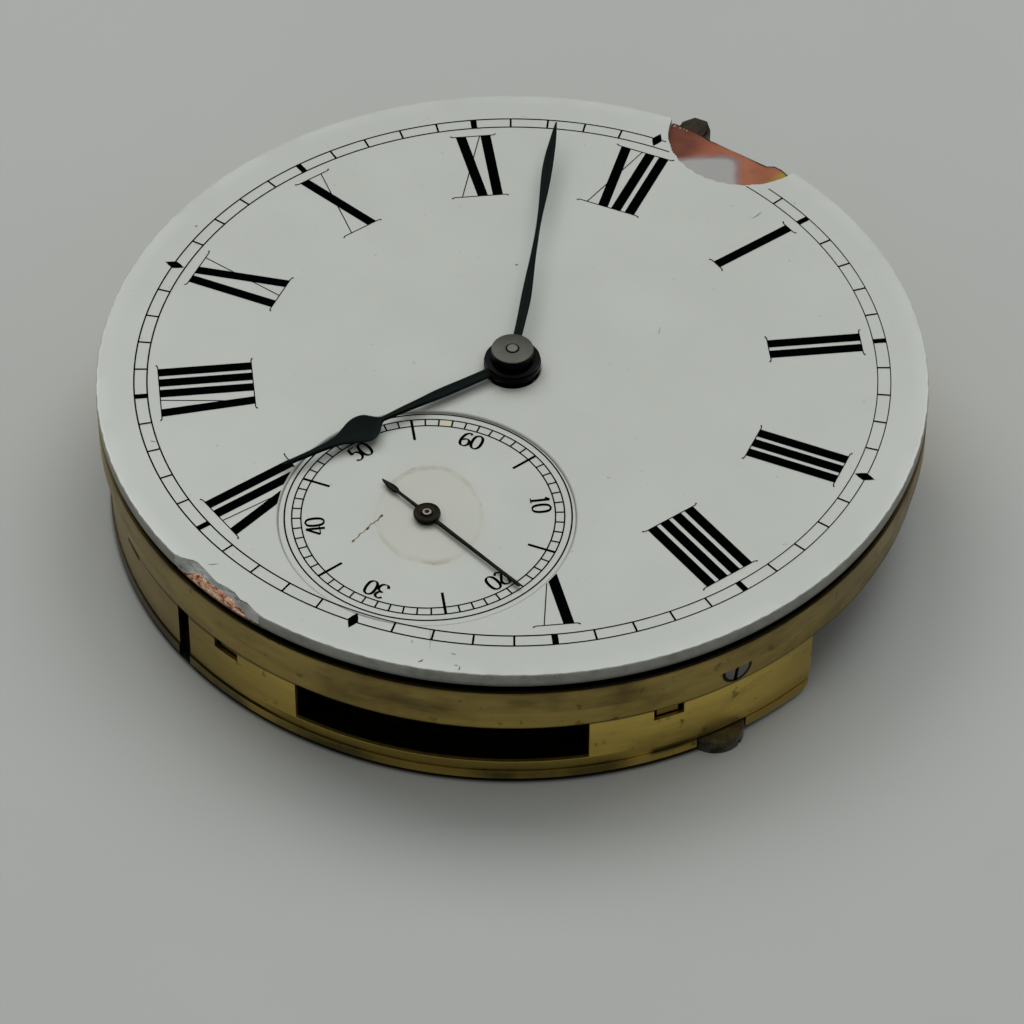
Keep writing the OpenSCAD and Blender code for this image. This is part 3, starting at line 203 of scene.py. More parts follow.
def enamel(name, seconds=False):
    s = Shader(name).set(Specular_IOR_Level=0.4)
    cloud = s.step(s.noise(160, 3), 0.35, 0.7)
    base = s.mix(cloud, (0.428, 0.446, 0.412), (0.446, 0.464, 0.43))
    speck = s.step(s.noise(2600, 2, 0.5), 0.735, 0.77)
    base = s.over(base, (0.2, 0.2, 0.18), speck, 0.35)
    if seconds:
        # Oval stain ring round the arbor, longest towards XI
        px, py, _ = s.split()
        dx, dy = s.minus(px, FOURTH[0] * MM), s.minus(py, FOURTH[1] * MM)
        across = s.plus(s.times(dx, 0.916), s.times(dy, 0.4))
        deep = s.minus(s.times(dy, 0.916), s.times(dx, 0.4))
        u = s.times(s.minus(across, 0.00013), 1.03)
        v = s.times(s.minus(deep, 0.00019), 0.815)
        ring = s.hypot(u, v)
        wobble = s.plus(ring, s.span(s.noise(380, 4), -0.00034, 0.00034))
        band = s.times(s.step(wobble, 0.00255, 0.00284), s.below(wobble, 0.00286, 0.003))
        patchy = s.times(s.span(s.step(s.noise(420, 3), 0.35, 0.68), 0.35, 1.0),
                         s.span(s.step(s.noise(1200, 4), 0.4, 0.62), 0.5, 1.0))
        patchy = s.times(patchy, s.span(s.step(s.math("ABSOLUTE", v), 0.0008, 0.0022), 0.4, 1.0))
        base = s.over(base, (0.26, 0.22, 0.12), band, patchy, 0.62)
        dots = s.times(band, s.step(s.noise(1300, 2), 0.64, 0.7))
        base = s.over(base, (0.16, 0.13, 0.08), dots, 0.6)
        inner = s.below(ring, 0.0022, 0.0037)
        base = s.over(base, (0.41, 0.4, 0.32), inner, 0.34)
    else:
        radius = s.distance(0, 0)
        oil = s.times(s.below(radius, 0.0016, 0.0023), s.step(s.noise(500, 4), 0.35, 0.7))
        base = s.over(base, (0.27, 0.24, 0.17), oil, 0.4)
        # Painted highlight where the face rolls over towards the rim
        sheen = s.times(s.step(radius, 0.0213, 0.0222), s.step(s.noise(260, 2), 0.3, 0.6))
        base = s.over(base, (0.52, 0.54, 0.505), sheen, 0.35)
        # Greyer outer edge of the face: dirt, and painted shade where it rolls away from the light
        edge_dirt_and_shade = s.times(s.step(radius, 0.0221, 0.0224), s.step(s.noise(700, 5), 0.35, 0.75))
        base = s.over(base, (0.22, 0.23, 0.21), edge_dirt_and_shade, 0.25)
        z = s.split()[2]
        below = s.below(z, 0.00853, 0.00858)
        # Side of the rim: grey with dirt, and painted shade darkening it towards the underside, which is
        # near black
        rim_dirt_and_shade = s.mix(s.step(z, 0.00765, 0.0081), (0.03, 0.029, 0.022), (0.256, 0.256, 0.222))
        rim_dirt_and_shade = s.over(rim_dirt_and_shade, (0.305, 0.306, 0.272), s.step(z, 0.0082, 0.0086), 0.8)
        rim_dirt_and_shade = s.over(rim_dirt_and_shade, (0.1, 0.1, 0.086), s.step(s.noise(900, 5, 0.7), 0.4, 0.7), 0.45)
        spots = s.step(s.noise(1500, 3), 0.66, 0.74)
        rim_dirt_and_shade = s.over(rim_dirt_and_shade, (0.07, 0.065, 0.05), spots, 0.6)
        base = s.mix(below, base, rim_dirt_and_shade)
    s.link(base, "Base Color")
    gloss = s.span(s.noise(380, 3), 0.16, 0.3)
    s.link(gloss if seconds else s.plus(gloss, s.times(below, 0.35)), "Roughness")
    s.bump(s.noise(230, 2), 0.12, 0.02)
    return s.mat


def fracture():
    s = Shader("enamel_fracture").set(Specular_IOR_Level=0.5)
    way, _, _ = s.round_coord()
    streak = s.noise(1.0, 4, 0.6, vector=s.scaled(420, 2000, 2000, way))
    grey = s.mix(s.step(streak, 0.3, 0.66), (0.25, 0.257, 0.24), (0.46, 0.47, 0.445))
    lines = s.noise(1.0, 3, 0.5, vector=s.scaled(700, 3600, 3600, way))
    grey = s.over(grey, (0.06, 0.06, 0.05), s.step(lines, 0.57, 0.65), 0.65)
    s.link(grey, "Base Color")
    s.link(s.span(s.noise(1500, 4), 0.2, 0.5), "Roughness")
    s.bump(streak, 0.3, 0.06)
    return s.mat


def ink(name, colour=(0.0005, 0.0009, 0.0007), worn=0.15):
    s = Shader(name).set(Specular_IOR_Level=0.0)
    thin = s.step(s.noise(1900, 4, 0.65), 0.55, 0.8)
    faded = tuple(min(c * 2 + 0.004, 0.8) for c in colour)
    s.link(s.over(colour, faded, thin, worn), "Base Color")
    s.link(s.span(s.noise(900, 3), 0.3, 0.55), "Roughness")
    return s.mat


def copper():
    s = Shader("bare_copper").set(Metallic=1.0)
    way, z, radius = s.round_coord()
    along = s.split(way)[0]
    fresh = s.mix(s.step(s.noise(380, 3), 0.3, 0.7), (0.185, 0.068, 0.038), (0.235, 0.094, 0.055))
    aged = s.mix(s.step(s.noise(380, 3), 0.3, 0.7), (0.078, 0.026, 0.017), (0.108, 0.039, 0.026))
    border = s.plus(along, s.span(s.noise(300, 2), -0.0005, 0.0005))
    tone = s.mix(s.step(border, 0.0315, 0.033), fresh, aged)
    # Painted gold highlight at the end of the chip towards I
    tone = s.mix(s.below(along, 0.0268, 0.0275), tone, (0.2, 0.13, 0.03))
    # Ground enamel that is left in the middle of the chip near XII, thin and pink at its border
    spread = s.span(s.noise(520, 4, 0.6), -0.0004, 0.0004)
    slant = s.plus(s.plus(radius, s.times(along, 0.625)), spread)
    inward = s.below(slant, 0.0395, 0.0408)
    across = s.step(s.plus(s.minus(along, s.times(radius, 0.79)), spread), 0.0121, 0.0137)
    flat = s.step(z, 0.0082, 0.00824)
    thin = s.times(across, inward, flat)
    mask = s.step(thin, 0.35, 0.9)
    tone = s.mix(s.step(thin, 0.0, 0.5), tone, (0.17, 0.115, 0.112))
    s.link(s.mix(mask, tone, (0.262, 0.258, 0.248)), "Base Color")
    s.link(s.minus(1.0, mask), "Metallic")
    s.link(s.span(s.noise(1200, 4), 0.42, 0.6), "Roughness")
    s.bump(s.noise(900, 5), 0.25, 0.05)
    return s.mat


def hammered_copper():
    s = Shader("hammered_copper").set(Metallic=0.75)
    way, z, _ = s.round_coord()
    cells = s.noise(1.0, 4, 0.65, vector=s.scaled(2400, 5600, 5600, way), distortion=0.8)
    tone = s.mix(s.step(cells, 0.37, 0.49), (0.17, 0.058, 0.032), (0.86, 0.41, 0.25))
    # Painted glints, near white, on part of the hammer marks
    tone = s.mix(s.step(cells, 0.5, 0.6), tone, (1.0, 0.8, 0.62))
    edges = s.below(z, 0.00772, 0.0078)
    s.link(s.over(tone, (0.05, 0.02, 0.012), edges, 0.8), "Base Color")
    s.link(s.span(s.noise(2000, 3), 0.3, 0.5), "Roughness")
    s.bump(cells, 0.8, 0.08)
    return s.mat


# Dark colour for dirt, and for painted shade in gaps, under the window and inside the case
DIRT_AND_SHADE = (0.012, 0.01, 0.006)
CRUST = (0.02, 0.016, 0.009)


def rim_brass(name, bright, dull, dark, tarnish, left, right=0.0, turn=(-0.0115, -0.004), shades=(),
              rings=(), slot=False):
    """Tarnished brass of the rim, streaked round the movement, with painted shade on its sides, in its gaps
    and inside the case.
    """
    s = Shader(name).set(Metallic=1.0)
    way, z, radius = s.round_coord()
    streak = s.noise(1.0, 4, 0.55, vector=s.scaled(150, 900, 300, way))
    smear = s.noise(1.0, 4, 0.6, vector=s.scaled(180, 420, 230, way))
    cloud = s.noise(150, 4, 0.6)
    base = s.mix(s.step(streak, 0.25, 0.78), bright, dull)
    stain = s.step(s.plus(s.times(smear, 0.6), s.times(cloud, 0.4)), tarnish, tarnish + 0.24)
    base = s.over(base, dark, stain, 0.74)
    blots = s.step(s.noise(1100, 4, 0.65), 0.61, 0.7)
    base = s.over(base, tuple(c * 0.6 for c in dark), blots, 0.5)
    spots = s.step(s.noise(2200, 3), 0.68, 0.76)
    base = s.over(base, tuple(c * 0.5 for c in dark), spots, 0.6)
    along = s.split(way)[0]
    wall = s.step(radius, 0.0213, 0.0216)
    far_side = s.times(wall, s.step(along, -0.069, -0.0605))
    shaded = s.times(far_side, s.below(along, -0.047, -0.034))
    # Painted shade on the wall's left side
    base = s.over(base, dark, shaded, left)
    if right:
        # Painted shade on the wall's right side
        right_shade = s.minus(s.step(along, *turn), s.step(along, 0.02, 0.03))
        base = s.over(base, dark, right_shade, wall, right)
    if slot:
        # Painted shade on a band under the window, less of it on the lip below it
        under = s.below(z, 0.0014, 0.0015)
        window = s.times(s.step(along, -0.0405, -0.0375), s.below(along, -0.0205, -0.0185))
        under = s.times(under, s.span(s.step(z, 0.0008, 0.00087), 0.66, 1.0))
        under = s.times(under, s.step(radius, 0.0219, 0.02195))
        base = s.over(base, DIRT_AND_SHADE, under, s.span(window, 0.06, 0.54))
        # Grime beside its right end, and in the corner over the lip there
        past = s.step(along, -0.0205, -0.0185)
        beside = s.times(past, s.below(along, -0.0165, -0.0125))
        beside = s.times(beside, s.below(z, 0.0014, 0.003))
        base = s.over(base, (0.03, 0.024, 0.012), beside, s.step(z, 0.0009, 0.001), 0.3)
        corner = s.times(s.step(along, -0.0184, -0.0178), s.below(along, -0.0168, -0.0135))
        corner = s.times(corner, s.below(s.math("ABSOLUTE", s.minus(z, 0.00092)), 0.0001, 0.0003))
        base = s.over(base, DIRT_AND_SHADE, corner, 0.75)
        # Crust on the lip at the far left
        far = s.times(s.below(along, -0.0475, -0.0455), s.below(z, 0.00098, 0.00106))
        base = s.over(base, CRUST, far, far_side, 0.7)
        # Dirt in the crease over the lip and under the plate's edge, deeper towards the left
        crease = s.times(s.step(z, 0.00082, 0.00084), s.below(z, 0.00098, 0.00106))
        crease = s.times(crease, s.below(along, -0.04, -0.037))
        base = s.over(base, CRUST, crease, far_side, 0.8)
        deeper = s.times(s.math("MINIMUM", s.plus(along, 0.036), 0.0), 0.027)
        joint = s.times(wall, s.step(s.minus(z, deeper), 0.00395, 0.00405))
        base = s.over(base, DIRT_AND_SHADE, joint, 0.7)
        # Painted contact shadow at the foot of the wall, and dirt low on the wall
        foot = s.below(z, 0.00012, 0.0003)
        base = s.over(base, (0.008, 0.007, 0.005), foot, wall, 0.88)
        low = s.below(s.plus(z, s.span(smear, -0.0006, 0.0006)), 0.0006, 0.0013)
        low = s.times(low, wall, s.span(past, 1.0, 0.2))
        base = s.over(base, (0.045, 0.042, 0.024), low, s.step(cloud, 0.4, 0.62), 0.7)
        # Painted shade on the slot's sides
        px, py, _ = s.split()
        side_x, side_y = polar(1, SLOT_AZ + 90)
        side = s.math("ABSOLUTE", s.plus(s.times(px, side_x), s.times(py, side_y)))
        slot_shade = s.times(s.below(side, 0.00047, 0.0005), s.step(radius, 0.0195, 0.02))
        base = s.over(base, (0.02, 0.015, 0.008), slot_shade, 0.9)
    for az, height, hole in rings:
        # Painted shade in the gap round a sunk screw head
        across = s.minus(along, WAY_R * math.radians(az))
        up = s.minus(z, height * MM)
        gap = s.hypot(across, up)
        near = s.below(gap, (hole + 0.08) * MM, (hole + 0.17) * MM)
        base = s.over(base, DIRT_AND_SHADE, near, 0.92)
    for (z0, z1), (r0, r1), amount in shades:
        # Painted shade in the gaps and inside the case, and dirt: a share between two heights and two
        # radii, in millimetres
        soft = 0.05
        fac = s.times(s.step(z, (z0 - soft) * MM, (z0 + soft) * MM),
                      s.below(z, (z1 - soft) * MM, (z1 + soft) * MM))
        fac = s.times(fac, s.step(radius, (r0 - soft) * MM, (r0 + soft) * MM))
        fac = s.times(fac, s.below(radius, (r1 - soft) * MM, (r1 + soft) * MM))
        base = s.over(base, DIRT_AND_SHADE, fac, amount)
    s.link(base, "Base Color")
    s.link(s.plus(s.span(streak, 0.28, 0.5), s.times(stain, 0.12)), "Roughness")
    lines = s.noise(1.0, 3, 0.5, vector=s.scaled(90, 5000, 3000, way))
    s.bump(s.plus(s.times(lines, 0.5), s.times(smear, 0.5)), 0.12, 0.02)
    return s.mat


def gilt(name, bright, dull):
    """Frosted gilding of the flat faces, with fine grain and handling marks."""
    s = Shader(name).set(Metallic=1.0)
    cloud = s.noise(180, 5, 0.6)
    base = s.mix(s.step(cloud, 0.35, 0.7), bright, dull)
    spots = s.step(s.noise(900, 4, 0.7), 0.66, 0.78)
    base = s.over(base, tuple(c * 0.35 for c in dull), spots, 0.5)
    s.link(base, "Base Color")
    s.link(s.span(s.noise(600, 4), 0.3, 0.46), "Roughness")
    s.bump(s.noise(9000, 2), 0.15, 0.008)
    return s.mat


def turned(name, colour, shade, rough=(0.18, 0.32), grain=7000):
    """Polished or turned metal with a faint grain."""
    s = Shader(name).set(Metallic=1.0)
    s.link(s.mix(s.step(s.noise(350, 4), 0.3, 0.75), colour, shade), "Base Color")
    s.link(s.span(s.noise(800, 3), *rough), "Roughness")
    s.bump(s.noise(grain, 2), 0.1, 0.006)
    return s.mat


def pipe_brass():
    """Brass of the hour wheel, painted black as shade where its pipe comes through the dial."""
    s = Shader("hour_wheel_brass").set(Metallic=1.0)
    brass = s.mix(s.step(s.noise(350, 4), 0.3, 0.75), (0.78, 0.6, 0.28), (0.6, 0.45, 0.19))
    s.link(s.mix(s.step(s.split()[2], 0.0076, 0.0079), brass, (0.01, 0.01, 0.01)), "Base Color")
    s.link(s.span(s.noise(800, 3), 0.2, 0.34), "Roughness")
    return s.mat


def arbor_steel(name, tip, shade):
    """Polished steel of an arbor, dull where its end shows in a hand."""
    s = Shader(name).set(Metallic=1.0)
    patch = s.step(s.noise(350, 4), 0.3, 0.75)
    end = s.step(s.split()[2], 0.0082, 0.0084)
    steel = s.mix(patch, (0.56, 0.56, 0.57), (0.4, 0.4, 0.41))
    s.link(s.mix(end, steel, s.mix(patch, tip, shade)), "Base Color")
    s.link(s.plus(s.span(s.noise(800, 3), 0.18, 0.32), s.times(end, 0.2)), "Roughness")
    s.bump(s.noise(7000, 2), 0.1, 0.006)
    return s.mat


def sunk_steel():
    """Steel of the dial screws, with painted shade black round the border of each head."""
    s = Shader("dull_screw").set(Metallic=1.0)
    way, z, _ = s.round_coord()
    along = s.split(way)[0]
    tone = s.mix(s.step(s.noise(350, 4), 0.3, 0.75), (0.2, 0.2, 0.185), (0.11, 0.105, 0.09))
    gap = 1.0
    for az in DIAL_SCREW_AZ:
        across = s.minus(along, WAY_R * math.radians(az))
        up = s.minus(z, DIAL_SCREW_Z * MM)
        own = s.hypot(across, up)
        gap = s.math("MINIMUM", own, gap)
    border = s.step(gap, (DIAL_SCREW_R - 0.12) * MM, (DIAL_SCREW_R - 0.04) * MM)
    s.link(s.mix(border, tone, (0.008, 0.008, 0.006)), "Base Color")
    s.link(s.span(s.noise(800, 3), 0.35, 0.5), "Roughness")
    s.bump(s.noise(5000, 2), 0.1, 0.006)
    return s.mat


def ruby():
    s = Shader("ruby").set(Roughness=0.08, Specular_IOR_Level=0.6, Coat_Weight=0.4)
    s.link(s.mix(s.step(s.noise(1500, 3), 0.3, 0.7), (0.32, 0.008, 0.05), (0.5, 0.02, 0.1)), "Base Color")
    return s.mat


def rusty_steel(name, clean, rusty):
    s = Shader(name).set(Metallic=1.0)
    rust = s.step(s.noise(1100, 6, 0.7), 0.42, 0.7)
    s.link(s.mix(rust, clean, rusty), "Base Color")
    s.link(s.span(rust, 0.32, 0.65), "Roughness")
    s.bump(s.noise(1600, 5), 0.5, 0.05)
    return s.mat


M_ENAMEL = enamel("dial_enamel")
M_SECONDS = enamel("seconds_enamel", True)
M_FRACTURE = fracture()
M_INK = ink("dial_ink")
M_STAIN = ink("crack_stain", (0.17, 0.138, 0.085), 0.8)
M_CREAM = ink("cream_fill", (0.5, 0.48, 0.36), 0.2)
M_SCUFF = ink("scuff", (0.16, 0.155, 0.14), 0.3)
M_COPPER = copper()
# Painted shade, dark brown, for the outer edge and ends of the copper lip
M_LIP_SHADE = turned("copper_lip_shade", (0.06, 0.034, 0.012), (0.025, 0.015, 0.008), (0.35, 0.5))
M_CRUMB = ink("enamel_crumb", (0.5, 0.46, 0.42), 0.3)
M_HAMMERED = hammered_copper()
M_EDGE = rim_brass(
    "edge_brass", (0.41, 0.305, 0.088), (0.27, 0.2, 0.064), (0.085, 0.06, 0.026), 0.44,
    left=0.25, right=0.42, shades=[((7.1, 7.7), (0, 22.2), 0.97), ((7.1, 7.3), (22, 30), 0.4)])
M_PLATE = rim_brass(
    "plate_brass", (0.43, 0.32, 0.088), (0.29, 0.213, 0.064), (0.09, 0.063, 0.026), 0.46,
    left=0.25, right=0.42, shades=[((4.2, 4.36), (21.8, 30), 0.75), ((2, 4.2), (21, 30), 0.35)],
    rings=[(az, DIAL_SCREW_Z, DIAL_SCREW_R) for az in DIAL_SCREW_AZ])
BRIGHT_BRASS = ((0.82, 0.6, 0.14), (0.58, 0.425, 0.108), (0.15, 0.106, 0.038), 0.53)
M_BRIDGE = rim_brass(
    "bridge_brass", *BRIGHT_BRASS, left=0.75, right=0.4, turn=(-0.0145, -0.0085), slot=True,
    shades=[((1.42, 6), (0, 21.75), 0.97)])
M_COCK = rim_brass("cock_brass", *BRIGHT_BRASS, left=0.0)
M_GILT = gilt("gilt_brass", (0.72, 0.53, 0.22), (0.55, 0.4, 0.16))
M_WHEEL = turned("wheel_brass", (0.78, 0.6, 0.28), (0.6, 0.45, 0.19))
M_STEEL = turned("polished_steel", (0.56, 0.56, 0.57), (0.4, 0.4, 0.41))
M_CAP = turned("hub_steel", (0.078, 0.078, 0.067), (0.058, 0.058, 0.049), (0.45, 0.55), 5000)
M_TIP = turned("arbor_tip", (0.13, 0.127, 0.113), (0.09, 0.087, 0.077), (0.35, 0.45), 1200)
M_BLUED = turned("blued_steel", (0.0026, 0.0042, 0.0046), (0.003, 0.005, 0.0036), (0.3, 0.42))
M_PIPE = pipe_brass()
M_BRONZED = turned("seconds_steel", (0.007, 0.0067, 0.0046), (0.0105, 0.0096, 0.0062), (0.3, 0.45))
M_BLACK = turned("black_steel", (0.0035, 0.0038, 0.0036), (0.002, 0.002, 0.002), (0.25, 0.4))
M_SPRING = turned("spring_steel", (0.07, 0.1, 0.24), (0.04, 0.06, 0.15), (0.2, 0.3))
M_RUBY = ruby()
# Rusty steel of the case screws, and a darker copy for the lug: partly darker rust, partly painted shade,
# as the lug's top faces the lamps
M_DARK = rusty_steel("dark_steel", (0.12, 0.115, 0.09), (0.035, 0.03, 0.02))
M_LUG_SHADED = rusty_steel("lug_steel_shaded", (0.03, 0.026, 0.018), (0.01, 0.008, 0.005))
M_SCREW = turned("screw_steel", (0.42, 0.42, 0.42), (0.2, 0.19, 0.17), (0.22, 0.42))
M_DULL = sunk_steel()
M_CENTRE = arbor_steel("centre_arbor_steel", (0.13, 0.127, 0.113), (0.09, 0.087, 0.077))
# The fourth arbor's end is painted near black, as shade in the hole of the seconds pivot
M_FOURTH = arbor_steel("fourth_arbor_steel", (0.01, 0.009, 0.008), (0.006, 0.005, 0.004))

LOOKS = {
    M_COPPER: "dial_copper dial_feet",
    M_EDGE: "brass_edge",
    M_PLATE: "pillar_plate",
    M_BRIDGE: "train_bridge barrel_bridge",
    M_COCK: "balance_cock",
    M_GILT: "pallet_cock",
    M_WHEEL: "barrel_drum barrel_cover centre_wheel third_wheel fourth_wheel minute_wheel "
    "balance_wheel balance_screws hairspring_collet",
    M_STEEL: "minute_post barrel_arbor ratchet_wheel click third_pinion escape_wheel "
    "escape_pinion pallet_lever pallet_arbor banking_pins balance_staff roller_table hairspring_stud "
    "regulator",
    M_CENTRE: "centre_pinion",
    M_FOURTH: "fourth_pinion",
    M_BLACK: "cannon_pinion",
    M_PIPE: "hour_wheel",
    M_SCREW: "bridge_screws click_screw pallet_cock_screw",
    M_DULL: "dial_screws",
    M_DARK: "case_screws",
    M_LUG_SHADED: "case_lug",
    M_SPRING: "mainspring hairspring click_spring",
    M_RUBY: "jewels pallet_stones impulse_pin",
}
for look, names in LOOKS.items():
    for name in names.split():
        slots = nodes[name].data.materials
        slots.clear()
        slots.append(look)

# Mesh helpers, in millimetres


def raw_mesh(name, verts, faces, materials=(), indices=None):
    mesh = bpy.data.meshes.new(name)
    mesh.from_pydata(verts, [], faces)
    for m in materials:
        mesh.materials.append(m)
    if indices:
        mesh.polygons.foreach_set("material_index", indices)
    mesh.update()
    return mesh


def piece(name, verts, faces, material, body, slot, angle=35.0, indices=None):
    """A mesh given in millimetres, placed in the frame and riding on a body."""
    materials = material if isinstance(material, list) else [material]
    mesh = raw_mesh(name, [Vector(v) * MM for v in verts], faces, materials, indices)
    return placed(name, mesh, body, angle)


def placed(name, mesh, body, angle):
    mesh.update()
    mesh.polygons.foreach_set("use_smooth", [True] * len(mesh.polygons))
    mesh.set_sharp_from_angle(angle=math.radians(angle))
    obj = bpy.data.objects.new(name, mesh)
    bpy.context.scene.collection.objects.link(obj)
    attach(obj, body)
    return obj


def loops(rows, close_ends=False):
    """Faces of a grid of vertices: rows of equal length, each closed on itself."""
    n, m = len(rows), len(rows[0])
    verts = [v for row in rows for v in row]
    faces = []
    for i in range(n if close_ends else n - 1):
        for j in range(m):
            a, b = i * m + j, i * m + (j + 1) % m
            c, d = ((i + 1) % n) * m + (j + 1) % m, ((i + 1) % n) * m + j
            faces.append((a, b, c, d))
    return verts, faces


def capped(rows):
    """The same for rows along an open way, with both ends filled."""
    verts, faces = loops(rows)
    m = len(rows[0])
    return verts, faces + [tuple(range(m))[::-1], tuple(range(len(verts) - m, len(verts)))]


def lathe(profile, centre, segments):
    """A closed ring from a profile of (radius, height) points, listed outwards along the top."""
    rows = []
    for k in range(segments):
        a = 360 * k / segments
        rows.append([(*around(centre, r, a), z) for r, z in profile])
    return loops(rows, True)


def catmull(points, steps):
    """A smooth line through the points."""
    pts = [points[0]] + list(points) + [points[-1]]
    out = []
    for i in range(1, len(pts) - 2):
        p0, p1, p2, p3 = pts[i - 1:i + 3]
        for k in range(steps):
            t = k / steps
            out.append(tuple(
                0.5 * (2 * b + (c - a) * t + (2 * a - 5 * b + 4 * c - d) * t * t
                       + (3 * b - a - 3 * c + d) * t ** 3)
                for a, b, c, d in zip(p0, p1, p2, p3)))
    out.append(tuple(points[-1]))
    return out


# Dial

rng = random.Random(7)


def table(points, a):
    """Straight-line look-up of a value by direction."""
    for (a0, r0), (a1, r1) in zip(points, points[1:]):
        if a0 <= a <= a1:
            return r0 + (r1 - r0) * (a - a0) / (a1 - a0)
    return None


def directions(points, steps):
    """Even directions from a table's first point to its last."""
    start, end = points[0][0], points[-1][0]
    return [start + (end - start) * k / steps for k in range(steps + 1)]


HOLE, HOLE_BREAK = 1.5, 0.06
FACE_RINGS = (3, 6, 9, 12, 15, 16.8, 18.2)
RIM_SHARES = (0.4, 0.75, 0.97, 1.0)
COPPER_R = 21.86
CHIP_A_AZ, CHIP_A_R, CHIP_A_IN = 79.3, 4.2, 3.6
CHIP_B = [(241.6, 22.4), (243.2, 22.2), (244.6, 21.86), (245.3, 21.78), (247.0, 21.83), (249.4, 21.98),
          (250.1, 22.0), (251.6, 21.9), (253.0, 21.9), (254.5, 22.1), (255.5, 22.04), (257.0, 22.22),
          (258.8, 22.4)]
STRIP = [(242.4, 0.0), (244.2, 0.15), (246.2, 1.0), (252.0, 1.0), (254.8, 0.65), (255.8, 0.25),
         (257.3, 0.06), (258.8, 0.0)]


def copper_share(a):
    """How much of its height the bare copper has in the chip near VII."""
    tall = table(STRIP, min(max(a % 360, 242.41), 258.79))
    return max(0.04, min(1.0, tall + 0.05 * math.sin(a * 5.3) * math.sin(a * 2.1)))


def chip_a(a):
    """Where the chip near XII cuts the face in this direction, or None."""
    c = RIM - CHIP_A_IN + CHIP_A_R
    d = math.radians((a - CHIP_A_AZ + 180) % 360 - 180)
    inside = CHIP_A_R ** 2 - (c * math.sin(d)) ** 2
    if abs(d) > 0.5 or inside <= 0:
        return None
    r = c * math.cos(d) - math.sqrt(inside)
    return r + 0.035 * math.sin(a * 3.1) + 0.02 * math.sin(a * 11.7) if r < RIM else None


def dial_profile(a):
    """One direction's outline, from the hole over the face to the back, and how far it is chipped."""
    top = RIM - 0.1 + 0.012 * math.sin(a * 1.7) + 0.01 * math.sin(a * 4.1 + 1)
    top += 0.008 * math.sin(a * 9.7 + 2)
    ca = chip_a(a)
    cb = table(CHIP_B, a % 360)
    cut = ca if ca is not None else cb
    edge = [(top + 0.04, 8.594), (top + 0.065, 8.57), (RIM - 0.018, 8.52), (RIM - 0.01, 8.4),
            (RIM - 0.003, 8.25), (RIM, 8.1)]
    under = [(RIM, 7.96), (RIM - 0.01, 7.84), (RIM - 0.04, 7.75), (RIM - 0.1, 7.68), (RIM - 0.2, Z_BACK)]
    reach, share = top, 0.0
    if cut is not None and cut < RIM:
        share = min(1.0, (RIM - cut) / 0.35)
        share = share * share * (3 - 2 * share)
        reach = min(top, cut)
        if ca is not None:
            foot, depth = min(reach + 0.1, COPPER_R), Z_COPPER - 0.03
        else:
            bare = copper_share(a)
            foot = max(reach + 0.1, 22.34 - 0.25 * bare + 0.02 * math.sin(a * 2.9))
            depth = 7.74 + 0.5 * bare
        broken = []
        for k in range(6):
            t = (k + 1) / 6
            rough = 0 if ca is not None else 0.03 * math.sin(a * 3.1 + k * 2.1) * math.sin(math.pi * t)
            broken.append((reach + (foot - reach) * t, Z_FACE - (Z_FACE - depth) * t ** 0.8 + rough))
        low = [(foot, depth - 0.05), (COPPER_R - 0.01, min(depth - 0.06, Z_COPPER - 0.2)), (COPPER_R, 7.72),
               (COPPER_R + 0.02, 7.68), (COPPER_R + 0.02, Z_BACK)]
        edge = [tuple(p + (q - p) * share for p, q in zip(e, b)) for e, b in zip(edge, broken)]
        under = [tuple(p + (q - p) * share for p, q in zip(e, b)) for e, b in zip(under, low)]
    last = FACE_RINGS[-1]
    face = [(HOLE, Z_FACE - HOLE_BREAK), (HOLE + HOLE_BREAK, Z_FACE)]
    face += [(r, Z_FACE) for r in FACE_RINGS] + [(last + (reach - last) * t, Z_FACE) for t in RIM_SHARES]
    back = [(19.0, Z_BACK), (10.0, Z_BACK), (HOLE, Z_BACK)]
    return face + edge + under + back, share


CHIPS = ((68, 91), (241.5, 259.5))
FINE_STEP, COARSE_STEP = 0.125, 0.5
angles = []
a = 0.0
while a < 360:
    angles.append(a)
    a += FINE_STEP if any(start <= a <= end for start, end in CHIPS) else COARSE_STEP
rows, shares = [], []
for a in angles:
    profile, share = dial_profile(a)
    rows.append([(*polar(r, a), z) for r, z in profile])
    shares.append(share)
dial_verts, dial_faces = loops(rows, True)
width = len(rows[0])
FACE_POINTS, EDGE_POINTS = 2 + len(FACE_RINGS) + len(RIM_SHARES), 6
dial_index = []
for f in dial_faces:
    i, j = divmod(f[0], width)
    broken = FACE_POINTS - 1 <= j < FACE_POINTS + EDGE_POINTS and shares[i] > 0.12
    dial_index.append(1 if broken else 0)


def cut_by(mesh, cutter_mesh):
    """The mesh less the cutter, both in millimetres."""
    a = bpy.data.objects.new("cut_a", mesh)
    b = bpy.data.objects.new("cut_b", cutter_mesh)
    for o in (a, b):
        bpy.context.scene.collection.objects.link(o)
    mod = a.modifiers.new("cut", "BOOLEAN")
    mod.operation = "DIFFERENCE"
    mod.solver = "EXACT"
    mod.object = b
    bpy.context.view_layer.update()
    result = bpy.data.meshes.new_from_object(a.evaluated_get(bpy.context.evaluated_depsgraph_get()))
    for o in (a, b):
        bpy.data.objects.remove(o)
    return result


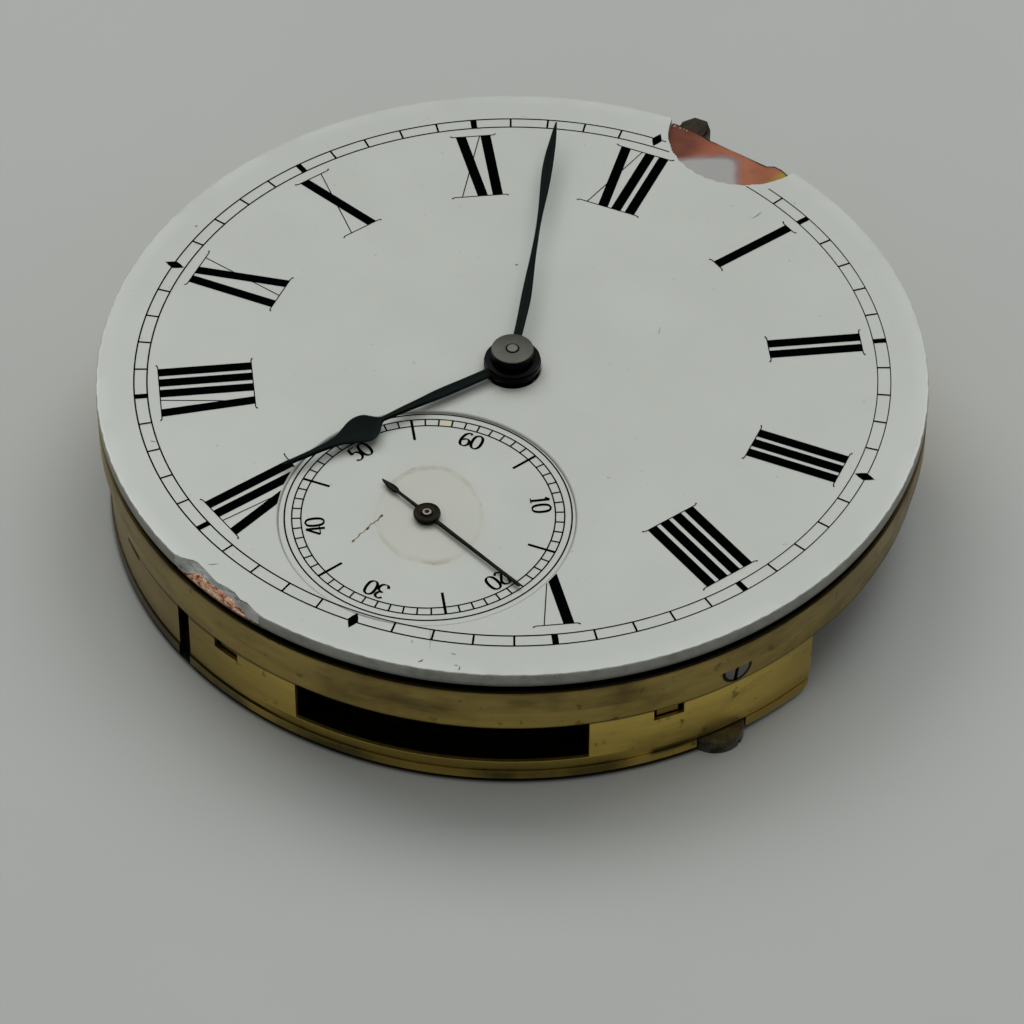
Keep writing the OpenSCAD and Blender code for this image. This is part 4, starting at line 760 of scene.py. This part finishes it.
def solid_lathe(profile, centre, segments=200):
    """A closed turned solid whose profile starts and ends on the axis, listed upwards."""
    ring = profile[1:-1]
    verts = [(*centre, profile[0][1])]
    for k in range(segments):
        px, py = polar(1, 360 * k / segments)
        verts += [(centre[0] + r * px, centre[1] + r * py, z) for r, z in ring]
    verts.append((*centre, profile[-1][1]))
    m, last = len(ring), len(verts) - 1
    faces = []
    for k in range(segments):
        a, b = 1 + k * m, 1 + ((k + 1) % segments) * m
        faces.append((0, b, a))
        faces += [(a + j, b + j, b + j + 1, a + j + 1) for j in range(m - 1)]
        faces.append((last, a + m - 1, b + m - 1))
    return verts, faces


CUT_LOW, CUT_HIGH = 7, 8.8
opening = solid_lathe([(0, CUT_LOW), (SECONDS_DISC, CUT_LOW), (SECONDS_DISC, Z_SECONDS),
                       (SECONDS_DISC + 0.03, 8.555), (SECONDS_DISC + 0.1, Z_FACE),
                       (SECONDS_DISC + 0.5, CUT_HIGH), (0, CUT_HIGH)], FOURTH)
dial_mesh = cut_by(raw_mesh("dial_face", dial_verts, dial_faces, [M_ENAMEL, M_FRACTURE], dial_index),
                   raw_mesh("opening", *opening))
dial_mesh.transform(Matrix.Scale(MM, 4))
dial = placed("dial_face", dial_mesh, "frame", 32)
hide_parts("dial_enamel")

SECONDS_HOLE = 0.55
small_face = [(SECONDS_HOLE, Z_BACK), (SECONDS_HOLE, Z_SECONDS - 0.04)]
small_face += [(r, Z_SECONDS) for r in (0.6, 2, 5, 7.2, SECONDS_DISC - 0.06)]
small_face += [(SECONDS_DISC - 0.015, Z_SECONDS - 0.03), (SECONDS_DISC - 0.01, Z_SECONDS - 0.1),
               (SECONDS_DISC - 0.01, Z_BACK)]
seconds_face = piece("seconds_face", *lathe(small_face, FOURTH, 200), M_SECONDS, "frame", "enamel", 32)
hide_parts("seconds_dial")

# Hammered copper rim that shows in the chip near VII, pointed at both ends
STRIP_SECTION = [(COPPER_R, 1.0), (21.98, 1.02), (22.1, 0.93), (22.2, 0.78), (22.27, 0.58), (22.31, 0.36),
                 (22.33, 0.06), (22.33, 0.0), (21.92, 0.0), (COPPER_R, 0.5)]
STRIP_Z, STRIP_H, STRIP_KNOCK = 7.66, 0.62, 0.03
strip = []
for a in directions(STRIP, 180):
    tall = copper_share(a)
    row = []
    for j, (r, z) in enumerate(STRIP_SECTION):
        knock = STRIP_KNOCK * tall * rng.uniform(-1, 1) if 0 < j < 6 else 0
        row.append((*polar(r + knock * 0.6, a), STRIP_Z + STRIP_H * tall * z + knock))
    strip.append(row)
piece("copper_rim", *capped(strip), M_HAMMERED, "frame", "copper", 60)

# Copper lip that stands out at the chip near XII
LIP_A = [(69.4, 22.2), (71.0, 22.3), (72.3, 22.26), (73.2, 22.02), (76.0, 21.95), (79.5, 21.92),
         (83.0, 21.98), (86.0, 22.2), (88.2, 22.27), (89.6, 22.3)]
LIP_Z, LIP_FOOT, LIP_KNOCK = 8.251, 8.02, 0.004
lip = []
for a in directions(LIP_A, 140):
    out = table(LIP_A, min(a, 89.59))
    high = LIP_Z + 0.2 * max(0, out - 21.98)
    knock = LIP_KNOCK * rng.uniform(-1, 1)
    section = [(21.3, 8.24), (21.3, 8.2505), (21.75, LIP_Z), (out - 0.11, high + knock),
               (out, high - 0.015), (out, LIP_FOOT), (21.5, LIP_FOOT)]
    lip.append([(*polar(r, a), z) for r, z in section])
verts, faces = capped(lip)
width = len(lip[0])
# The lip's outer edge and ends take the painted shade
lip_index = [1 if f[0] % width in (3, 4, 5) else 0 for f in faces[:-2]] + [1, 1]
piece("copper_lip", verts, faces, [M_COPPER, M_LIP_SHADE], "frame", "copper", 40, lip_index)

# Crumbs of enamel on its left end
crumbs, crumb_faces = [], []
CRUMBS = ((22.08, 89.1, 0.1), (22.06, 88.2, 0.08), (22.1, 87.6, 0.06), (22.04, 87.1, 0.07))
for r, a, size in CRUMBS:
    n = len(crumbs)
    x, y = polar(r, a)
    for k in range(5):
        dx, dy = polar(size * rng.uniform(0.8, 1.2), 72 * k + 20 * rng.random())
        crumbs.append((x + dx, y + dy, Z_COPPER))
    for k in range(5):
        dx, dy = polar(size * rng.uniform(0.3, 0.6), 72 * k + 20 * rng.random())
        crumbs.append((x + dx, y + dy, Z_COPPER + size * rng.uniform(0.9, 1.3)))
    crumb_faces.append(tuple(range(n + 4, n - 1, -1)))
    crumb_faces.append(tuple(range(n + 5, n + 10)))
    crumb_faces += [(n + k, n + (k + 1) % 5, n + 5 + (k + 1) % 5, n + 5 + k) for k in range(5)]
piece("enamel_crumbs", crumbs, crumb_faces, M_CRUMB, "frame", "enamel", 20)

# Printing on the dial

INK_LIFT, PATCH_LIFT = 0.012, 0.008
INK_Z = Z_FACE + INK_LIFT
ARC_STEP = 1.5


class Print:
    """Flat printed shapes, gathered into one mesh."""

    def __init__(self, z):
        self.z, self.verts, self.faces = z, [], []

    def polygon(self, points):
        n = len(self.verts)
        area = sum(x0 * y1 - x1 * y0 for (x0, y0), (x1, y1) in zip(points, points[1:] + points[:1]))
        self.verts += [(x, y, self.z) for x, y in (points if area > 0 else points[::-1])]
        self.faces.append(tuple(range(n, n + len(points))))

    def stroke(self, line, half):
        """A line of even or changing half width, with joined corners."""
        halves = half if isinstance(half, list) else [half] * len(line)
        sides = []
        for i, (x, y) in enumerate(line):
            x0, y0 = line[max(i - 1, 0)]
            x1, y1 = line[min(i + 1, len(line) - 1)]
            d = math.hypot(x1 - x0, y1 - y0) or 1
            nx, ny = -(y1 - y0) / d, (x1 - x0) / d
            w = halves[i]
            sides.append(((x + nx * w, y + ny * w), (x - nx * w, y - ny * w)))
        for (l0, r0), (l1, r1) in zip(sides, sides[1:]):
            self.polygon([l0, r0, r1, l1])

    def arc(self, centre, r, half, a0, a1, keep=lambda a: True):
        a = a0
        while a < a1 - 1e-6:
            b = min(a + ARC_STEP, a1)
            if keep(a) and keep(b):
                self.polygon([around(centre, q, t) for q, t in
                              ((r - half, a), (r + half, a), (r + half, b), (r - half, b))])
            a = b


face_print = Print(INK_Z)
TRACK_IN, TRACK_OUT, LINE = 19.65, 20.35, 0.042
CLEAR, SERIF_CLEAR = 0.12, 0.15


def clear_of_chip(r):
    return lambda a: not (chip_a(a) and chip_a(a) < r + CLEAR)


# Minute track, thinnest between II and III
for r in (TRACK_IN, TRACK_OUT):
    for a in range(0, 360, 15):
        worn = 1 - 0.36 * max(0.0, math.cos(math.radians(a - 15)))
        face_print.arc((0, 0), r, LINE * worn, a, a + 15, clear_of_chip(r))

# Minute marks: a diamond at each quarter, a thick bar at the other hours and a thin one between
DIAMOND = [(0, 0.56), (0.17, 0.27), (0.28, 0), (0.17, -0.27), (0, -0.56), (-0.17, -0.27), (-0.28, 0),
           (-0.17, 0.27)]
DIAMOND_R, MARK_R, MARK_HALF = 20.28, 20.0, 0.36
for i in range(60):
    if not clear_of_chip(TRACK_OUT)(6 * i):
        continue
    half = 0.17 if i % 5 == 0 else 0.055
    bar = [(-half, -MARK_HALF), (half, -MARK_HALF), (half, MARK_HALF), (-half, MARK_HALF)]
    shape, mid = (DIAMOND, DIAMOND_R) if i % 15 == 0 else (bar, MARK_R)
    at = facing(6 * i)
    face_print.polygon([at(x, mid + y) for x, y in shape])

# Numerals: thick bars and thin strokes by their place at the outer and inner end
NUMERALS = {
    12: ([(-1.33, -0.63), (0.14, 0.14), (0.96, 0.96)], [(-0.35, -1.58)]),
    1: ([(0, 0)], []),
    2: ([(-0.41, -0.41), (0.41, 0.41)], []),
    3: ([(-0.78, -0.78), (0, 0), (0.78, 0.78)], []),
    4: ([(-1.2, -1.2), (-0.4, -0.4), (0.4, 0.4), (1.2, 1.2)], []),
    5: ([(-0.83, -0.12)], [(0.45, -0.35)]),
    7: ([(-1.28, -0.2), (0.32, 0.32), (1.12, 1.12)], [(-0.28, -0.5)]),
    8: ([(-1.4, -0.93), (0.08, 0.08), (0.9, 0.9), (1.7, 1.7)], [(-0.42, -1.0)]),
    9: ([(-0.63, -0.63), (0.12, 1.12)], [(1.2, 0.1)]),
    10: ([(-0.5, 0.58)], [(0.62, -0.8)]),
    11: ([(-0.85, -0.12), (0.55, 0.72)], [(0.22, -1.27)]),
}
OUTER, INNER, BAR, THIN = 18.98, 13.95, 0.285, 0.03
SERIF, SERIF_REACH, SERIF_TURN, SERIF_CURL = [0.05, 0.03, 0.03, 0.05], 0.3, 0.14, 0.09
SEVEN_INNER = 13.68
SEVEN_SERIF = [(0.76, 13.72), (0.9, 13.68), (1.75, 13.64), (1.9, 13.58)]


def clipped(p, q):
    """The end of the line from p towards q, short of the seconds dial."""
    for k in range(201):
        t = k / 200
        x, y = p[0] + (q[0] - p[0]) * t, p[1] + (q[1] - p[1]) * t
        if math.hypot(x - FOURTH[0], y - FOURTH[1]) < SECONDS_DISC + CLEAR:
            return (x, y)
    return q


def numeral(hour):
    at = facing(90 - 30 * hour)
    bars, thins = NUMERALS[hour]
    foot = SEVEN_INNER if hour == 7 else INNER
    for group, half in ((bars, BAR), (thins, THIN)):
        for outer, inner in group:
            left = clipped(at(outer - half, OUTER), at(inner - half, foot))
            right = clipped(at(outer + half, OUTER), at(inner + half, foot))
            face_print.polygon([at(outer - half, OUTER), at(outer + half, OUTER), right, left])
    for y, k, curl in ((OUTER, 0, SERIF_CURL), (INNER, 1, -SERIF_CURL)):
        if hour == 7 and k == 1:
            face_print.stroke([at(*place) for place in SEVEN_SERIF], SERIF)
            continue
        ends = [b[k] for b in bars + thins]
        lo, hi = min(ends) - BAR - SERIF_REACH, max(ends) + BAR + SERIF_REACH
        line = [at(lo, y + curl), at(lo + SERIF_TURN, y), at(hi - SERIF_TURN, y), at(hi, y + curl)]
        if all(math.hypot(x - FOURTH[0], z - FOURTH[1]) > SECONDS_DISC + SERIF_CLEAR for x, z in line):
            face_print.stroke(line, SERIF)


for hour in NUMERALS:
    numeral(hour)
piece("dial_print", face_print.verts, face_print.faces, M_INK, "frame", "blued_steel")

# Seconds printing, a little off its arbor and turned as printed
small_print = Print(Z_SECONDS + INK_LIFT)
SMALL = (FOURTH[0], FOURTH[1] + 0.15)
SMALL_TURN = 1.7
SMALL_IN, SMALL_OUT, SMALL_EDGE = 6.66, 7.14, 7.53
for r, half in ((SMALL_EDGE, 0.043), (SMALL_OUT, 0.039), (SMALL_IN, 0.039)):
    small_print.arc(SMALL, r, half, 0, 360)
for i in range(60):
    inner, outer, half = (5.62, 7.1, 0.075) if i % 10 == 5 else (SMALL_IN, SMALL_OUT, 0.045)
    small_print.stroke([around(SMALL, q, 90 - 6 * i + SMALL_TURN) for q in (inner, outer)], half)

DIGITS = {
    "0": [[(0.3, 1.0), (0.1, 0.86), (0.04, 0.5), (0.1, 0.14), (0.3, 0.0), (0.5, 0.14), (0.56, 0.5),
           (0.5, 0.86), (0.3, 1.0)]],
    "1": [[(0.14, 0.8), (0.24, 0.88), (0.32, 1.0)], [(0.32, 1.0), (0.32, 0.5), (0.32, 0.0)],
          [(0.14, 0.0), (0.5, 0.0)]],
    "2": [[(0.1, 0.72), (0.14, 0.92), (0.32, 1.0), (0.5, 0.88), (0.5, 0.66), (0.3, 0.36), (0.06, 0.06),
           (0.22, 0.1), (0.4, 0.0), (0.56, 0.14)]],
    "3": [[(0.1, 0.88), (0.3, 1.0), (0.5, 0.86), (0.44, 0.62), (0.26, 0.55), (0.48, 0.46), (0.55, 0.24),
           (0.4, 0.02), (0.16, 0.02), (0.06, 0.2)]],
    "4": [[(0.44, 0.0), (0.44, 0.5), (0.44, 1.0)], [(0.44, 1.0), (0.2, 0.6), (0.02, 0.28)],
          [(0.02, 0.28), (0.58, 0.28)]],
    "5": [[(0.5, 0.98), (0.16, 0.98)], [(0.16, 0.98), (0.12, 0.56)],
          [(0.12, 0.56), (0.34, 0.64), (0.54, 0.46), (0.52, 0.16), (0.3, 0.0), (0.08, 0.1)]],
    "6": [[(0.5, 0.9), (0.36, 1.0), (0.16, 0.84), (0.05, 0.46), (0.1, 0.12), (0.3, 0.0), (0.5, 0.14),
           (0.52, 0.4), (0.34, 0.54), (0.12, 0.42)]],
}
DIGIT_H, DIGIT_GAP, DIGIT_R = 1.0, 0.62, 5.95
DIGIT_TURN = {"30": -4.0}
for value in ("60", "10", "20", "30", "40", "50"):
    at = facing(90 - 6 * (int(value) % 60) + SMALL_TURN + DIGIT_TURN.get(value, 0), SMALL)
    for k, digit in enumerate(value):
        for line in DIGITS[digit]:
            smooth = catmull(line, 6) if len(line) > 2 else line
            pts, halves = [], []
            for i, (x, y) in enumerate(smooth):
                x0, y0 = smooth[max(i - 1, 0)]
                x1, y1 = smooth[min(i + 1, len(smooth) - 1)]
                halves.append(0.032 + 0.05 * abs(y1 - y0) / math.hypot(x1 - x0, y1 - y0))
                lx = (x - 0.3) * DIGIT_H + (k - 0.5) * DIGIT_GAP
                ly = DIGIT_R + (y - 0.5) * DIGIT_H
                pts.append(at(lx, ly))
            small_print.stroke(pts, halves)
# Cream filling of one field, under the printing
patch = Print(Z_SECONDS + PATCH_LIFT)
patch.arc(SMALL, 6.9, 0.2, 90 - 6 * 58 + 0.6 + SMALL_TURN, 90 - 6 * 57 - 0.6 + SMALL_TURN)
piece("cream_patch", patch.verts, patch.faces, M_CREAM, "frame", "enamel")
piece("seconds_print", small_print.verts, small_print.faces, M_INK, "frame", "blued_steel")

# Hairline crack and scuffs
marks = Print(Z_SECONDS + INK_LIFT)
crack = [(-2.19, -0.83), (-2.3, -1.27), (-2.46, -1.72), (-2.52, -2.07), (-2.68, -2.57), (-2.81, -3.17)]
line = [(FOURTH[0] + x + 0.05 * rng.uniform(-1, 1), FOURTH[1] + y) for x, y in catmull(crack, 4)]
marks.stroke(line, [0.018 + 0.028 * rng.random() for _ in line])
for x, y in ((-2.5, -2.0), (-2.22, -0.87), (-2.8, -3.13)):
    marks.polygon([(FOURTH[0] + x + 0.07 * math.cos(t), FOURTH[1] + y + 0.11 * math.sin(t))
                   for t in [2 * math.pi * k / 10 for k in range(10)]])
piece("hairline", marks.verts, marks.faces, M_STAIN, "frame", "enamel")

scuffs = Print(INK_Z)
SCUFFS = [
    (7.5, 16.7, 0.7, 70, 0.03), (6.1, 5.9, 0.6, 100, 0.02), (-3.1, 7.6, 0.16, 20, 0.07),
    (-15.2, -12.8, 0.3, 10, 0.03), (-8.3, -19.6, 0.5, 30, 0.025), (-20.6, 3.3, 0.14, 0, 0.06),
    (4.14, -19.9, 1.5, 114, 0.014), (3.37, -20.42, 0.22, 114, 0.025), (4.33, -21.44, 0.3, 60, 0.05),
    (5.66, -20.34, 0.25, 10, 0.03), (6.33, -21.13, 0.3, 100, 0.04), (6.1, -21.0, 0.2, 20, 0.03),
]
for x, y, length, turn, half in SCUFFS:
    dx, dy = polar(length / 2, turn)
    scuffs.stroke([(x - dx, y - dy), (x + 0.03, y), (x + dx, y + dy)], [half * 0.4, half, half * 0.4])
piece("scuffs", scuffs.verts, scuffs.faces, M_SCUFF, "frame", "enamel")

# Hands


def hand(name, stations, axis, az, z0, thick, material, body):
    """A blade with a softly crowned top, from its half widths along the length."""
    rows = []
    left, ahead = polar(1, az + 90), polar(1, az)
    for s, w, c in catmull([(*t, 0)[:3] for t in stations], 8):
        w = max(w, 0.012)
        section = [(w, 0), (w, 0.6), (0.75 * w, 0.92), (0, 1.0), (-0.75 * w, 0.92), (-w, 0.6), (-w, 0)]
        rows.append([(*[o + s * p + (c + x) * q for o, p, q in zip(axis, ahead, left)], z0 + thick * h)
                     for x, h in section])
    return piece(name, *capped(rows), material, body, "blued_steel", 50)


HOUR_AZ, MINUTE_AZ, TICK_AZ = 236.6, 106.2, 337.0
HOUR_Z, MINUTE_Z, TICK_Z = 9.0, 9.74, 8.7
BLADE, TICK_BLADE = 0.16, 0.12
# Distance from the axis, half width and bend to the left
HOUR_SHAPE = [
    (1.2, 0.31, -0.02), (2.8, 0.32, -0.04), (4.5, 0.33, -0.08), (5.8, 0.255, -0.1), (7.0, 0.2, -0.11),
    (7.8, 0.16, -0.095), (8.2, 0.17, -0.09), (8.5, 0.44, -0.085), (8.9, 0.83, -0.07), (9.4, 0.95, -0.03),
    (9.9, 0.83, -0.025), (10.4, 0.59, -0.01), (10.9, 0.37, 0.015), (11.5, 0.26, 0.03), (12.5, 0.185, 0.025),
    (13.5, 0.15, 0.015), (14.1, 0.13, 0), (14.38, 0.07, 0),
]
MINUTE_SHAPE = [
    (0.9, 0.23, -0.08), (2.6, 0.25, -0.145), (4.3, 0.275, -0.17), (5.9, 0.23, -0.15), (7.5, 0.165, -0.13),
    (9.5, 0.125, -0.105), (11.0, 0.14, -0.08), (12.2, 0.19, -0.06), (13.5, 0.255, -0.03),
    (14.8, 0.285, 0.005), (16.1, 0.257, 0.015), (17.2, 0.19, 0), (18.2, 0.11, 0), (18.78, 0.05, 0),
]
TICK_SHAPE = [
    (-3.48, 0.015), (-3.2, 0.1), (-2.85, 0.175), (-2.6, 0.195), (-2.35, 0.15), (-2.15, 0.08), (-1.4, 0.085),
    (0, 0.115), (1.5, 0.11), (3.5, 0.098), (5.5, 0.093), (6.8, 0.105), (7.08, 0.05),
]
hour_blade = hand("hour_blade", HOUR_SHAPE, (0, 0), HOUR_AZ, HOUR_Z, BLADE, M_BLUED, "hour")
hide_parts("hour_hand")
minute_blade = hand("minute_blade", MINUTE_SHAPE, (0, 0), MINUTE_AZ, MINUTE_Z, BLADE, M_BLUED, "centre")
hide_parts("minute_hand")
tick_blade = hand("seconds_blade", TICK_SHAPE, FOURTH, TICK_AZ, TICK_Z, TICK_BLADE, M_BRONZED, "fourth")
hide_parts("seconds_hand")


def turned_ring(name, profile, centre, material, body, slot):
    return piece(name, *lathe(profile, centre, 96), material, body, slot, 30)


BOSS = [(1.14, 8.62), (1.14, 9.4), (1.42, 9.4), (1.5, 9.36), (1.5, 9.28), (1.44, 9.24), (1.44, 9.2),
        (1.54, 9.16), (1.55, 8.95), (1.5, 8.87), (1.42, 8.85), (1.4, 8.62)]
COLLAR = [(0.74, 9.43), (0.74, 10.04), (1.12, 10.04), (1.15, 10.0), (1.15, 9.92), (1.1, 9.88), (1.1, 9.84),
          (1.14, 9.8), (1.14, 9.6), (1.06, 9.48)]
CAP = [(0.37, 10.05), (0.37, 10.1), (0.39, 10.112), (1.08, 10.112), (1.12, 10.095), (1.14, 10.05)]
turned_ring("hour_boss", BOSS, (0, 0), M_BLACK, "hour", "blued_steel")
turned_ring("minute_collar", COLLAR, (0, 0), M_BLACK, "centre", "blued_steel")
turned_ring("minute_cap", CAP, (0, 0), M_CAP, "centre", "steel")
tip = [(0, 10.0), (0.28, 10.0), (0.27, 10.09), (0.24, 10.11), (0.18, 10.128), (0.1, 10.137), (0, 10.14)]
piece("centre_tip", *solid_lathe(tip, (0, 0), 48), M_TIP, "centre", "steel", 40)
SMALL_BOSS = [(0.31, 8.64), (0.31, 8.9), (0.36, 8.92), (0.62, 8.92), (0.7, 8.88), (0.725, 8.8), (0.7, 8.68),
              (0.66, 8.64)]
turned_ring("seconds_boss", SMALL_BOSS, FOURTH, M_BRONZED, "fourth", "blued_steel")
pivot = [(0, 8.8), (0.29, 8.8), (0.29, 8.92), (0.22, 8.945), (0.125, 8.94), (0.1, 8.89), (0, 8.89)]
M_PIVOT = turned("seconds_pivot", (0.2, 0.165, 0.14), (0.09, 0.07, 0.055), (0.4, 0.55), 1500)
piece("seconds_tip", *solid_lathe(pivot, FOURTH, 32), M_PIVOT, "fourth", "steel", 40)

# Stage

ground = Shader("floor").set(Roughness=0.75, Specular_IOR_Level=0.25)
tone = ground.mix(ground.step(ground.noise(22, 4), 0.3, 0.7), (0.38, 0.39, 0.374), (0.392, 0.402, 0.386))
# Painted contact shadow where the wall stands on it
ground_x, ground_y, _ = ground.split()
open_side = ground.step(ground.math("ABSOLUTE", ground.math("ARCTAN2", ground_y, ground_x)), 0.38, 0.72)
contact_shadow = ground.below(ground.distance(0, 0), 0.02186, 0.02222)
ground.link(ground.over(tone, (0.006, 0.006, 0.005), contact_shadow, open_side), "Base Color")
FLOOR_SIDE, FLOOR_Z = 3.0, -0.00001
corners = [(FLOOR_SIDE * x, FLOOR_SIDE * y, 0) for x, y in ((-1, -1), (1, -1), (1, 1), (-1, 1))]
floor = bpy.data.objects.new("floor", raw_mesh("floor", corners, [(0, 1, 2, 3)], [ground.mat]))
floor.location.z = FLOOR_Z
bpy.context.scene.collection.objects.link(floor)
floor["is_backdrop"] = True


def area(name, place, target, size, power):
    lamp = bpy.data.lights.new(name, "AREA")
    lamp.shape = "DISK"
    lamp.size = size
    lamp.energy = power
    obj = bpy.data.objects.new(name, lamp)
    obj.location = place
    obj.rotation_euler = (Vector(target) - Vector(place)).to_track_quat("-Z", "Y").to_euler()
    bpy.context.scene.collection.objects.link(obj)


area("left", (-0.49, 0.32, 0.76), (0, 0, 0), 0.6, 3.05)
area("right", (0.1, 0.56, 0.78), (0, 0, 0), 0.6, 2.45)
area("top", (0.05, 0.1, 1.2), (0, 0, 0), 0.9, 2.2)
world = bpy.data.worlds.new("studio")
bpy.context.scene.world = world
world.use_nodes = True
sky = world.node_tree
height = sky.nodes.new("ShaderNodeSeparateXYZ")
sky.links.new(sky.nodes.new("ShaderNodeTexCoord").outputs["Generated"], height.inputs[0])
blend = sky.nodes.new("ShaderNodeMix")
blend.data_type = "RGBA"
blend.inputs[6].default_value = (0.2, 0.205, 0.2, 1)
blend.inputs[7].default_value = (0.46, 0.47, 0.465, 1)
sky.links.new(height.outputs[2], blend.inputs[0])
sky.links.new(blend.outputs[2], sky.nodes["Background"].inputs["Color"])

# Camera, at the photograph's place
camera_data = bpy.data.cameras.new("camera")
camera = bpy.data.objects.new("camera", camera_data)
bpy.context.scene.collection.objects.link(camera)
AIM = Vector((4.325, -9.892, Z_FACE)) * MM
AWAY = 259.44 * MM
VIEW_AZ, VIEW_UP, VIEW_ROLL = math.radians(23.62), math.radians(45.69), math.radians(0.154)
level = math.cos(VIEW_UP)
ahead = Vector((-math.sin(VIEW_AZ) * level, math.cos(VIEW_AZ) * level, -math.sin(VIEW_UP)))
turn = ahead.to_track_quat("-Z", "Y") @ Quaternion((0, 0, 1), VIEW_ROLL)
camera.matrix_world = Matrix.LocRotScale(AIM - AWAY * ahead, turn, None)
camera_data.sensor_width = 36.0
camera_data.lens = 174.34
camera_data.clip_start = 0.005
camera_data.clip_end = 20.0
bpy.context.scene.camera = camera
bpy.context.scene.view_settings.view_transform = "Standard"

low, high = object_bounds()
